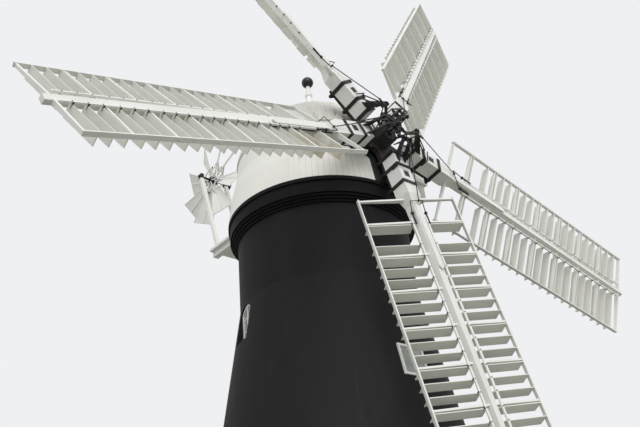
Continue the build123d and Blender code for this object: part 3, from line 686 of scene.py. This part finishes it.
def bolts(name, placed, body, sides=6):
    """Black iron heads, their sizes given as radius, radius and depth."""
    inputs = {"Sides": sides, "Material": BLACK_IRON}
    return grown(name, point_mesh(name, placed), BOLTS, body, inputs)


def bars(name, placed, body, material):
    """Boxes, their sizes given as three full lengths."""
    return grown(name, point_mesh(name, placed), BARS, body, {"Material": material})


def rods(name, runs, body, radius, material, sides=8):
    """Round rods along runs of points."""
    inputs = {"Radius": radius, "Sides": sides, "Material": material}
    return grown(name, line_mesh(name, runs), RODS, body, inputs)


print("piece helpers ready")

# %% [markdown]
# ## Straps and bolts of the stocks
# Three iron straps hold each stock to its arm of the cross. They are broader than the solids
# have them, so flat bars round the stock and the arm stand for the solid. Each strap has bolt
# heads on its front and sides, and the outer two end in long nuts behind the arm. Between those
# two, a square black plate is painted shade: it stands where the mortise hole shows dark.

# %% Straps, bolts, nuts and plates
STRAPS_AT = (0.745, 1.13, 1.66)
STRAP_FACE = 0.016
STRAP_WIDTH = 0.095
HEAD_SIZE = (0.024, 0.024, 0.022)
NUT_SIZE = (0.036, 0.036, 0.075)
FRONT_BOLT_OUT = 0.15
SIDE_BOLTS_AT = (-0.21, -0.44)
NUT_SINK = 0.01
MORTISE_AT = 1.395
PLATE_SIZE = (0.16, 0.16, 0.012)
PLATE_SINK = 0.001


def straps():
    """Each strap is four flat bars round the stock and the arm behind it."""
    placed = []
    depth = STOCK_FRONT - ARM_BACK
    width = 2 * (STOCK_HALF_WIDTH + STRAP_FACE)
    for distance in STRAPS_AT:
        for face in (STOCK_FRONT + STRAP_FACE / 2, ARM_BACK - STRAP_FACE / 2):
            flat = Matrix.Translation((0, distance, face))
            placed.append((flat, (width, STRAP_WIDTH, STRAP_FACE)))
        for side in (-1, 1):
            flank = side * (STOCK_HALF_WIDTH + STRAP_FACE / 2)
            upright = Matrix.Translation((flank, distance, ARM_BACK + depth / 2))
            placed.append((upright, (STRAP_FACE, STRAP_WIDTH, depth)))
    return on_each_sail(placed)


def strap_bolts():
    placed = []
    for distance in STRAPS_AT:
        for side in (-1, 1):
            front = (side * FRONT_BOLT_OUT, distance, STOCK_FRONT + STRAP_FACE)
            placed.append((standing(front, (0, 0, 1)), HEAD_SIZE))
            for depth in SIDE_BOLTS_AT:
                face = (side * (STOCK_HALF_WIDTH + STRAP_FACE), distance, depth)
                placed.append((standing(face, (side, 0, 0)), HEAD_SIZE))
    return on_each_sail(placed)


def strap_nuts():
    placed = []
    for distance in STRAPS_AT[1:]:
        for side in (-1, 1):
            back = (side * (STOCK_HALF_WIDTH + STRAP_FACE), distance, ARM_BACK + NUT_SINK)
            placed.append((standing(back, (0, 0, -1)), NUT_SIZE))
    return on_each_sail(placed)


broad_straps = bars("broad_straps", straps(), "sails", BLACK_IRON)
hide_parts("stock_straps")
bolts("strap_bolts", strap_bolts(), "sails")
bolts("strap_nuts", strap_nuts(), "sails")
# Painted shade: a thin black square where the mortise hole shows dark.
plate = Matrix.Translation((0, MORTISE_AT, STOCK_FRONT + PLATE_SIZE[2] / 2 - PLATE_SINK))
bars("mortise_shade_plates", on_each_sail([(plate, PLATE_SIZE)]), "sails", BLACK_IRON)

# %% [markdown]
# ## Joinery of the sail frames
# Each bar of a sail passes through the rail at its end, and the tenon stands a little proud.
# The tenons are placed by the same rule as the solid's bars: the sail is twisted, more at the
# heel than at the tip, and every bar leans with that twist.

# %% Tenons along the rails
HEEL_BAR = 2.085
FIRST_BAY_BAR = HEEL_BAR + 0.673
BAY = 0.9
BAYS = 7
BARS_AT = [HEEL_BAR] + [FIRST_BAY_BAR + BAY * index for index in range(BAYS + 1)]
TRAIL_WIDTH = 1.311
LEAD_WIDTH = 1.129
HEEL_WEATHER = math.radians(25.4)
TIP_WEATHER = math.radians(21.5)
SIDES = ((1, TRAIL_WIDTH), (-1, LEAD_WIDTH))


def along_bar(distance, side, out, proud=0.0):
    """A place on a bar, its X out along the bar and its Z out of the sail's front."""
    share = (distance - HEEL_BAR) / (BARS_AT[-1] - HEEL_BAR)
    angle = HEEL_WEATHER + (TIP_WEATHER - HEEL_WEATHER) * share
    x = Vector((side * math.cos(angle), 0, -side * math.sin(angle)))
    z = Vector((math.sin(angle), 0, math.cos(angle)))
    axes = Matrix((x, z.cross(x), z)).transposed()
    origin = Vector((0, distance, SAIL_PLANE)) + x * out + z * proud
    return Matrix.Translation(origin) @ axes.to_4x4()


TENON = (0.044, 0.03, 0.05)
TENON_SINK = 0.012
tenons = [
    (along_bar(distance, side, reach - TENON_SINK), TENON)
    for distance in BARS_AT[:-1] for side, reach in SIDES
]
bars("bar_tenons", on_each_sail(tenons), "sails", STAGE_TIMBER)

# %% [markdown]
# ## Planks on the whips
# Each whip is stiffened near the hub by a plank on its front. The plank ends in a point, which
# is a square board turned by an eighth.

# %% Planks
PLANK_START = 2.32
PLANK_END = 4.05
PLANK_WIDTH = 0.165
PLANK_THICK = 0.034
PLANK_SINK = 0.002
POINT_SINK = 0.004
WHIP_FACE = -0.193


def whip_planks():
    middle = (PLANK_START + PLANK_END) / 2
    flat = Matrix.Translation((0, middle, WHIP_FACE + PLANK_THICK / 2 - PLANK_SINK))
    point = Matrix.Translation((0, PLANK_END, WHIP_FACE + PLANK_THICK / 2 - POINT_SINK))
    side = PLANK_WIDTH / math.sqrt(2)
    return [
        (flat, (PLANK_WIDTH, PLANK_END - PLANK_START, PLANK_THICK)),
        (point @ Matrix.Rotation(math.pi / 4, 4, "Z"), (side, side, PLANK_THICK)),
    ]


bars("whip_planks", on_each_sail(whip_planks()), "sails", POST_TIMBER)

# %% [markdown]
# ## Open shutters
# The mill stands with its shutters open, nearly square to the sail, so that the wind blows
# through. Each shutter turns on a hinge close to its edge nearer the hub: a narrow strip stands
# out in front, and the wide part trails behind, where its ends show past the rails like the
# teeth of a saw. The solids hold the shutters nearer to closed, so these stand for them.

# %% Shutters
BAR_THICK = 0.045
SHUTTERS_PER_BAY = 3
SHUTTER_CHORD = 0.28
SHUTTER_THICK = 0.018
SHUTTER_HINGE = 0.05  # from the edge nearer the hub
SHUTTER_OPEN = math.radians(82)
SHUTTER_GAP = 0.06
RAIL_WIDTH = 0.033
WHIP_START = 2.3
WHIP_TIP = 9.215
WHIP_WIDTH = 0.23
WHIP_TIP_WIDTH = 0.13
WHIP_TAPER = (WHIP_WIDTH - WHIP_TIP_WIDTH) / (WHIP_TIP - WHIP_START)
SHUTTER_PITCH = (BAY - BAR_THICK) / SHUTTERS_PER_BAY


def shutter_hinges():
    """Each hinge's distance from the hub. The heel bay leaves its middle shutter out."""
    places = []
    for bay in range(BAYS):
        for place in range(SHUTTERS_PER_BAY):
            if bay or place != 1:
                middle = BARS_AT[bay + 1] + BAR_THICK / 2 + SHUTTER_PITCH * (place + 0.5)
                places.append(middle + SHUTTER_HINGE - SHUTTER_CHORD / 2)
    return places


def open_shutter(distance, side, out, back):
    """A place on a shutter, out along its hinge and back towards its trailing edge."""
    turned = along_bar(distance, side, out) @ Matrix.Rotation(-side * SHUTTER_OPEN, 4, "X")
    return turned @ Matrix.Translation((0, side * back, 0))


def shutter_boards():
    placed = []
    back = SHUTTER_CHORD / 2 - SHUTTER_HINGE
    for distance in shutter_hinges():
        for side, reach in SIDES:
            inner = (WHIP_WIDTH - WHIP_TAPER * (distance - WHIP_START)) / 2 + SHUTTER_GAP
            outer = reach - RAIL_WIDTH
            board = open_shutter(distance, side, (inner + outer) / 2, back)
            placed.append((board, (outer - inner, SHUTTER_CHORD, SHUTTER_THICK)))
    return placed


for number, paint in enumerate(SHUTTER_PAINT):
    placed = on_sail(number, shutter_boards())
    piece = bars(f"open_shutters_{number + 1}", placed, "sails", paint)
    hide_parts(f"shutters_{number + 1}")

# %% [markdown]
# ## Shutter cranks
# Each shutter has a small iron crank near its inner end. The long shutter bars in front of the
# sail are pinned to all of them, so that one pull opens every shutter at once. With forty
# cranks on a sail, each is a plain bar of six faces, placed by the same rule as the shutters.

# %% Cranks and pins
UPLONG_OUT = 0.185
UPLONG_FRONT = 0.0965
CRANK_OUT = UPLONG_OUT + 0.028
CRANK_MIDDLE = -0.035  # in front of the hinge
CRANK_SIZE = (0.012, 0.115, 0.024)
PIN_PROUD = 0.004
PIN_SIZE = (0.011, 0.011, 0.012)


def shutter_cranks():
    placed = []
    pins = []
    for distance in shutter_hinges():
        for side, _ in SIDES:
            crank = open_shutter(distance, side, CRANK_OUT, CRANK_MIDDLE)
            placed.append((crank, CRANK_SIZE))
            pin = along_bar(distance, side, UPLONG_OUT, UPLONG_FRONT + PIN_PROUD)
            pins.append((pin, PIN_SIZE))
    return placed, pins


cranks, crank_pins = shutter_cranks()
bars("shutter_cranks", on_each_sail(cranks), "sails", BLACK_IRON)
bolts("crank_pins", on_each_sail(crank_pins), "sails")

# %% [markdown]
# ## The ironwork in front of the hub
# The rod through the windshaft ends in a five-armed spider, and links join its arms to the
# bell cranks between the tall cheeks on the stocks. Around them stand stays, cross pins and
# lock nuts: a thicket of black rods in front of the white stocks. From each bell crank a
# striking rod runs out to a bent bridle, which crosses the whip and pulls on both of its
# shutter bars through thick ends. The solid has a straight bridge there, so these rods stand
# for it.

# %% Links, stays and pins
PIVOT_OUT = 0.56
PIVOT_FRONT = 0.247
CHEEK_OUT = 0.117
CHEEK_FOOT = 0.78
SPIDER_FRONT = 0.10
SPIDER_REACH = 0.35
LINK_OUT = 0.036
FOOT_OUT = 0.19
LOOSE_RODS = [
    [(-0.20, 0.92, -0.06), (0.16, 0.88, -0.06)],
    [(-0.15, 1.24, -0.07), (0.23, 1.20, -0.07), (0.23, 1.20, -0.30)],
    # Painted shade: a black rod where the gap along the side of the whip shows dark.
    [(-0.135, 1.75, -0.243), (-0.135, 4.2, -0.243)],  # along the side of the whip
]
STAY_RADIUS = 0.016


def gear_runs():
    """Runs of rod for one sail: links, stays behind the cheeks, rods between them, and a black
    rod of painted shade along the side of the whip.
    """
    runs = []
    for side in (-1, 1):
        near = side * LINK_OUT
        cheek = side * CHEEK_OUT
        arm = (near, SPIDER_REACH, SPIDER_FRONT)
        foot = (side * FOOT_OUT, CHEEK_FOOT + 0.40, STOCK_FRONT + 0.02)
        runs.append([(near, 0.10, SPIDER_FRONT + 0.06), arm])
        runs.append([arm, (near, PIVOT_OUT, PIVOT_FRONT + 0.05)])
        runs.append([(cheek, 0.30, STOCK_FRONT - 0.10), (cheek, PIVOT_OUT - 0.02, PIVOT_FRONT)])
        runs.append([(cheek, PIVOT_OUT, PIVOT_FRONT), foot])
    return runs + LOOSE_RODS


BRIDLE_RADIUS = 0.012
BRIDLE_END = 2.51
BRIDLE_CORNERS = [(0.26, 2.31, -0.145), (-0.165, 2.18, -0.11)]
BRIDLE_PULL = (-0.05, 2.215, -0.119)  # where the striking rod meets the bridle
CRANK_END = (0.0, 0.765, PIVOT_FRONT)
BAR_ENDS = ((0.162, -0.272), (-0.160, -0.142))  # across and forwards, trailing side first
BAR_END_STOP = 2.85
BAR_END_RADIUS = 0.021


def bridle_runs():
    """The striking rod and the bridle, between the ends of the two shutter bars."""
    first, last = [(x, BRIDLE_END, z) for x, z in BAR_ENDS]
    return [[CRANK_END, BRIDLE_PULL], [first, *BRIDLE_CORNERS, last]]


def bar_end_runs():
    """The thick iron ends of the two shutter bars."""
    return [[(x, BRIDLE_END, z), (x, BAR_END_STOP, z)] for x, z in BAR_ENDS]


def gear_rods(name, runs, radius, sides=8):
    return rods(name, runs_on_each_sail(runs), "sails", radius, BLACK_IRON, sides)


gear_rods("gear_stays_and_whip_shade", gear_runs(), STAY_RADIUS)
bridles = gear_rods("bridle_rods", bridle_runs(), BRIDLE_RADIUS, sides=6)
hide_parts("striking_rods")
gear_rods("shutter_bar_ends", bar_end_runs(), BAR_END_RADIUS)

PIVOT_PIN = (0.045, 0.045, 0.07)
CROSS_PIN = (0.02, 0.02, 0.26)
BAR_END_PIN = (0.034, 0.034, 0.06)
GEAR_PINS = (
    # place, facing, size
    ((CHEEK_OUT + 0.015, PIVOT_OUT, PIVOT_FRONT), (1, 0, 0), PIVOT_PIN),
    ((-CHEEK_OUT - 0.015, PIVOT_OUT, PIVOT_FRONT), (-1, 0, 0), PIVOT_PIN),
    ((0.0, SPIDER_REACH, SPIDER_FRONT), (1, 0, 0), (0.028, 0.028, 0.15)),
    ((0.0, 0.66, 0.09), (1, 0, 0), CROSS_PIN),
    ((0.0, 0.76, -0.03), (1, 0, 0), CROSS_PIN),
    ((0.0, 0.19, SPIDER_FRONT), (0, 0, 1), (0.032, 0.032, 0.13)),
    *(((x, BRIDLE_END + 0.03, z), (0, 0, 1), BAR_END_PIN) for x, z in BAR_ENDS),
    (BRIDLE_PULL, (0, 0, 1), (0.026, 0.026, 0.05)),
    (CRANK_END, (1, 0, 0), (0.022, 0.022, 0.05)),
)
gear_pins = [(standing(point, facing), size) for point, facing, size in GEAR_PINS]
bolts("gear_pins", on_each_sail(gear_pins), "sails", sides=8)

# %% [markdown]
# A ring of nuts holds the cross to the windshaft, and three lock nuts sit on the rod through
# its middle.

# %% Nuts on the boss and the rod
BOSS_NUTS = 10
BOSS_NUT_RING = 0.215
BOSS_NUT_SIZE = (0.022, 0.022, 0.05)
NOSE_FACE = -0.15
LOCK_NUT_DEPTH = 0.06
LOCK_NUTS = (
    # distance along the shaft, radius
    (NOSE_FACE + 0.03, 0.09),
    (SPIDER_FRONT + 0.07, 0.055),
    (SPIDER_FRONT + 0.13, 0.035),
)


def boss_nuts():
    placed = []
    for index in range(BOSS_NUTS):
        turn = Matrix.Rotation(math.tau * (index + 0.5) / BOSS_NUTS, 3, SHAFT)
        point = HUB + SHAFT * NOSE_FACE + turn @ ACROSS * BOSS_NUT_RING
        placed.append((standing(point, SHAFT), BOSS_NUT_SIZE))
    for distance, radius in LOCK_NUTS:
        nut = standing(HUB + SHAFT * distance, SHAFT)
        placed.append((nut, (radius, radius, LOCK_NUT_DEPTH)))
    return placed


bolts("boss_nuts", boss_nuts(), "sails")

# %% [markdown]
# ## Fan blades
# A fan blade is a tapering board with a batten along each edge and a spar down the middle.
# Two eight-sided rings of white timber tie the spars to each other, with iron bolts at every
# second corner. The battens follow the blade's own edges, so they are worked out from the same
# root and tip widths as the solid.

# %% Battens and rings of the fan
FAN = Vector(JOINTS["fan_turn"]["pos_m"])
FAN_BLADES = 8
FAN_FIRST = math.radians(24.4)
BLADE_PITCH = math.radians(-28)
BLADE_ROOT = (0.38, 0.13)
BLADE_TIP = (1.475, 0.39)
BATTEN_WIDTH = 0.03
BATTEN_THICK = 0.034
BATTEN_INSET = 0.018
TIP_BATTEN_INSET = 0.02
TIP_BATTEN_SHORT = 0.05
RING_RADIUS = 0.43
RING_OUT = 0.12
RING_TIMBER = 0.024
BRACE_START = 0.10
BRACE_END = 0.70
RING_BOLT_RADIUS = 0.022
RING_BOLT_PROUD = 0.09  # both ends together


def blade_matrix(number):
    """A blade's own directions: X out along it, Y across it and Z out of its face."""
    turn = FAN_FIRST + math.tau / FAN_BLADES * number
    x = Vector((0, math.cos(turn), math.sin(turn)))
    y = Vector((0, -math.sin(turn), math.cos(turn)))
    axes = Matrix((x, y, Vector((1, 0, 0)))).transposed()
    return Matrix.Translation(FAN) @ axes.to_4x4() @ Matrix.Rotation(BLADE_PITCH, 4, "X")


def blade_battens():
    """Battens along both edges and across the tip of each blade."""
    placed = []
    reach = BLADE_TIP[0] - BLADE_ROOT[0]
    spread = BLADE_TIP[1] - BLADE_ROOT[1]
    length = math.hypot(reach, spread)
    slope = math.atan2(spread, reach)
    middle_out = (BLADE_TIP[0] + BLADE_ROOT[0]) / 2
    middle_side = (BLADE_TIP[1] + BLADE_ROOT[1]) / 2 - BATTEN_INSET
    tip = Matrix.Translation((BLADE_TIP[0] - TIP_BATTEN_INSET, 0, 0))
    tip_size = (BATTEN_WIDTH, 2 * BLADE_TIP[1] - TIP_BATTEN_SHORT, BATTEN_WIDTH)
    for number in range(FAN_BLADES):
        for side in (-1, 1):
            middle = Matrix.Translation((middle_out, side * middle_side, 0))
            edge = blade_matrix(number) @ middle @ Matrix.Rotation(side * slope, 4, "Z")
            placed.append((edge, (length, BATTEN_WIDTH, BATTEN_THICK)))
        placed.append((blade_matrix(number) @ tip, tip_size))
    return placed


bars("blade_battens", blade_battens(), "fan", POST_TIMBER)


def fan_ring_corner(number, out, radius=RING_RADIUS):
    """A corner of one of the rings, beside a spar."""
    turn = FAN_FIRST + math.tau / FAN_BLADES * number
    return FAN + Vector((out, radius * math.cos(turn), radius * math.sin(turn)))


def fan_rings():
    """The sides of both rings, and braces from the hub's ends out to the spars."""
    runs = []
    for number in range(FAN_BLADES):
        for side in (-1, 1):
            out = side * RING_OUT
            runs.append([fan_ring_corner(number, out), fan_ring_corner(number + 1, out)])
            runs.append([fan_ring_corner(number, out, BRACE_START), fan_ring_corner(number, out)])
            runs.append([fan_ring_corner(number, out), fan_ring_corner(number, 0.0, BRACE_END)])
    return runs


def ring_bolts():
    """An iron bolt through both rings at every second spar."""
    size = (RING_BOLT_RADIUS, RING_BOLT_RADIUS, 2 * RING_OUT + RING_BOLT_PROUD)
    corners = [fan_ring_corner(number, 0.0) for number in range(0, FAN_BLADES, 2)]
    return [(standing(corner, (1, 0, 0)), size) for corner in corners]


rods("fan_rings", fan_rings(), "fan", RING_TIMBER, POST_TIMBER, sides=4)
bolts("fan_ring_bolts", ring_bolts(), "fan")

# %% [markdown]
# ## Windows and doors
# The arched sashes have slender glazing bars, and the doors are ledged and boarded with long
# strap hinges. All of them sit on planes that face out of the tower at an azimuth, so one
# matrix places them.

# %% Glazing bars and door iron
WINDOW_ROWS = (
    # sill, width, height, azimuths, set-back
    (1.0, 0.76, 1.15, (0, 180), 0.24),
    (3.65, 0.76, 1.15, (-90, 90), 0.24),
    (8.08, 0.64, 0.94, (-105, 75), 0.2),
)
BASE_RADIUS = 3.75
SHAFT_RADIUS = 2.195
BATTER_TOP = 9.1
FRAME_DEPTH = 0.07
GLAZING_AT = (0.36, 0.68)  # shares of the window's height
GLAZING_SIDE = 0.236  # share of its width
GLAZING_SHORT = 0.07
GLAZING_PROUD = 0.008
GLAZING_SECTION = (0.022, 0.026)


def wall_radius(height):
    return BASE_RADIUS + (SHAFT_RADIUS - BASE_RADIUS) * min(height / BATTER_TOP, 1)


def on_wall(azimuth, height, radius):
    """A place on the wall, X to the right, Y up and Z out."""
    turn = math.radians(azimuth)
    out = Vector((math.sin(turn), -math.cos(turn), 0))
    right = Vector((math.cos(turn), math.sin(turn), 0))
    axes = Matrix((right, Vector((0, 0, 1)), out)).transposed()
    return Matrix.Translation(out * radius + Vector((0, 0, height))) @ axes.to_4x4()


def glazing_bars():
    placed = []
    for sill, width, height, azimuths, setback in WINDOW_ROWS:
        for azimuth in azimuths:
            face = on_wall(azimuth, sill, wall_radius(sill) - setback - FRAME_DEPTH / 2)
            for side in (-1, 1):
                for share in GLAZING_AT:
                    middle = (side * width * GLAZING_SIDE, height * share, GLAZING_PROUD)
                    size = (width / 2 - GLAZING_SHORT, *GLAZING_SECTION)
                    placed.append((face @ Matrix.Translation(middle), size))
    return placed


bars("glazing_bars", glazing_bars(), "tower", POST_TIMBER)

DOOR_AZIMUTHS = (-90, 90)
DOOR_FACE = BASE_RADIUS - 0.38
HINGES_AT = (0.35, 1.6)
HINGE_MIDDLE = -0.09
HINGE_SIZE = (0.70, 0.05, 0.01)
HINGE_PROUD = 0.004
LATCH_AT = 1.02
LATCH_SIDE = 0.38
LATCH_SIZE = (0.03, 0.16, 0.016)
LATCH_PROUD = 0.008


def door_iron():
    """Two strap hinges and a latch on each door."""
    placed = []
    for azimuth in DOOR_AZIMUTHS:
        for height in HINGES_AT:
            face = on_wall(azimuth, height, DOOR_FACE + HINGE_PROUD)
            placed.append((face @ Matrix.Translation((HINGE_MIDDLE, 0, 0)), HINGE_SIZE))
        latch = on_wall(azimuth, LATCH_AT, DOOR_FACE + LATCH_PROUD)
        placed.append((latch @ Matrix.Translation((LATCH_SIDE, 0, 0)), LATCH_SIZE))
    return placed


bars("door_iron", door_iron(), "tower", BLACK_IRON)

# %% [markdown]
# ## Gear of the fan
# A bevel gear on the end of the fan shaft drives the worm that turns the cap. Only this gear
# shows from outside.

# %% Fan gear
GEAR_OUT = 0.60
GEAR_SIZE = (0.15, 0.15, 0.04)
COLLAR_OUT = 0.62
COLLAR_SIZE = (0.06, 0.06, 0.08)
fan_gear = [
    (standing(FAN + Vector((out, 0, 0)), (1, 0, 0)), size)
    for out, size in ((GEAR_OUT, GEAR_SIZE), (COLLAR_OUT, COLLAR_SIZE))
]
bolts("fan_gear", fan_gear, "fan", sides=24)

# %% [markdown]
# ## Camera, light and ground
# The photograph was taken from close below, looking steeply up with the camera slightly
# rolled. The camera's place and turn were worked out from the tower's edges and the five
# stocks. The light is an even overcast sky: a soft lamp above the camera and a bright world.

# %% Camera
EYE = Vector((-11.767, -12.753, 1.60))
YAW = math.radians(42.660)
PITCH = math.radians(30.705)
ROLL = math.radians(-5.672)
FOCAL_PIXELS = 762.64
PHOTO_WIDTH = 640
SENSOR = 36.0


def add_camera():
    level = math.cos(PITCH)
    look = Vector((math.sin(YAW) * level, math.cos(YAW) * level, math.sin(PITCH)))
    right = Vector((math.cos(YAW), -math.sin(YAW), 0))
    up = right.cross(look)
    rolled_right = right * math.cos(ROLL) + up * math.sin(ROLL)
    rolled_up = up * math.cos(ROLL) - right * math.sin(ROLL)
    axes = Matrix((rolled_right, rolled_up, -look)).transposed()
    data = bpy.data.cameras.new("camera")
    data.sensor_fit = "HORIZONTAL"
    data.sensor_width = SENSOR
    data.lens = FOCAL_PIXELS / PHOTO_WIDTH * SENSOR
    data.clip_end = 500
    camera = bpy.data.objects.new("camera", data)
    camera.matrix_world = Matrix.Translation(EYE) @ axes.to_4x4()
    bpy.context.scene.collection.objects.link(camera)
    bpy.context.scene.camera = camera
    return data


print("lens", round(add_camera().lens, 2))

# %% Lamp and sky
SKY_SEEN = (0.86, 0.87, 0.89, 1.0)
SKY_LIGHT = (0.97, 0.985, 1.0, 1.0)
SKY_STRENGTH = 0.80
LAMP_TOWARDS = Vector((0.42, 0.62, -0.75))
LAMP_STRENGTH = 1.6
LAMP_SPREAD = math.radians(50)


def add_lamp():
    data = bpy.data.lights.new("soft_day", "SUN")
    data.energy = LAMP_STRENGTH
    data.angle = LAMP_SPREAD
    lamp = bpy.data.objects.new("soft_day", data)
    lamp.rotation_euler = LAMP_TOWARDS.to_track_quat("-Z", "Y").to_euler()
    bpy.context.scene.collection.objects.link(lamp)


def add_sky():
    """A sky that is one tone to the camera and another as light."""
    world = bpy.data.worlds.new("overcast")
    world.use_nodes = True
    tree = world.node_tree
    seen = tree.nodes.new("ShaderNodeBackground")
    seen.inputs["Color"].default_value = SKY_SEEN
    lit = tree.nodes["Background"]
    lit.inputs["Color"].default_value = SKY_LIGHT
    lit.inputs["Strength"].default_value = SKY_STRENGTH
    path = tree.nodes.new("ShaderNodeLightPath")
    mix = tree.nodes.new("ShaderNodeMixShader")
    tree.links.new(path.outputs["Is Camera Ray"], mix.inputs["Fac"])
    tree.links.new(lit.outputs[0], mix.inputs[1])
    tree.links.new(seen.outputs[0], mix.inputs[2])
    tree.links.new(mix.outputs[0], tree.nodes["World Output"].inputs["Surface"])
    bpy.context.scene.world = world


add_lamp()
add_sky()
bpy.context.scene.view_settings.view_transform = "Standard"
print("sky strength", SKY_STRENGTH)

# %% [markdown]
# The ground is pale to the camera, but lights the mill as dark turf would. That keeps the
# undersides of the white timbers a clear step darker than their fronts.

# %% Ground
GROUND_RADIUS = 60
GROUND_SIDES = 64
GROUND_PALE = colour(0.62, 0.62, 0.61)
GROUND_DARK = colour(0.29, 0.295, 0.26)


def add_ground():
    mesh = bpy.data.meshes.new("ground")
    turns = [math.tau * step / GROUND_SIDES for step in range(GROUND_SIDES)]
    ring = [(GROUND_RADIUS * math.cos(turn), GROUND_RADIUS * math.sin(turn), 0) for turn in turns]
    mesh.from_pydata(ring, [], [tuple(range(GROUND_SIDES))])
    ground = bpy.data.objects.new("ground", mesh)
    bpy.context.scene.collection.objects.link(ground)
    paint = Finish("ground_paint")
    seen = paint.node("ShaderNodeLightPath", output="Is Camera Ray")
    tone = paint.blend(seen, GROUND_DARK, GROUND_PALE)
    mesh.materials.append(paint.finished(Base_Color=tone, Roughness=0.95, Specular_IOR_Level=0.1))


add_ground()
print("ground radius", GROUND_RADIUS)
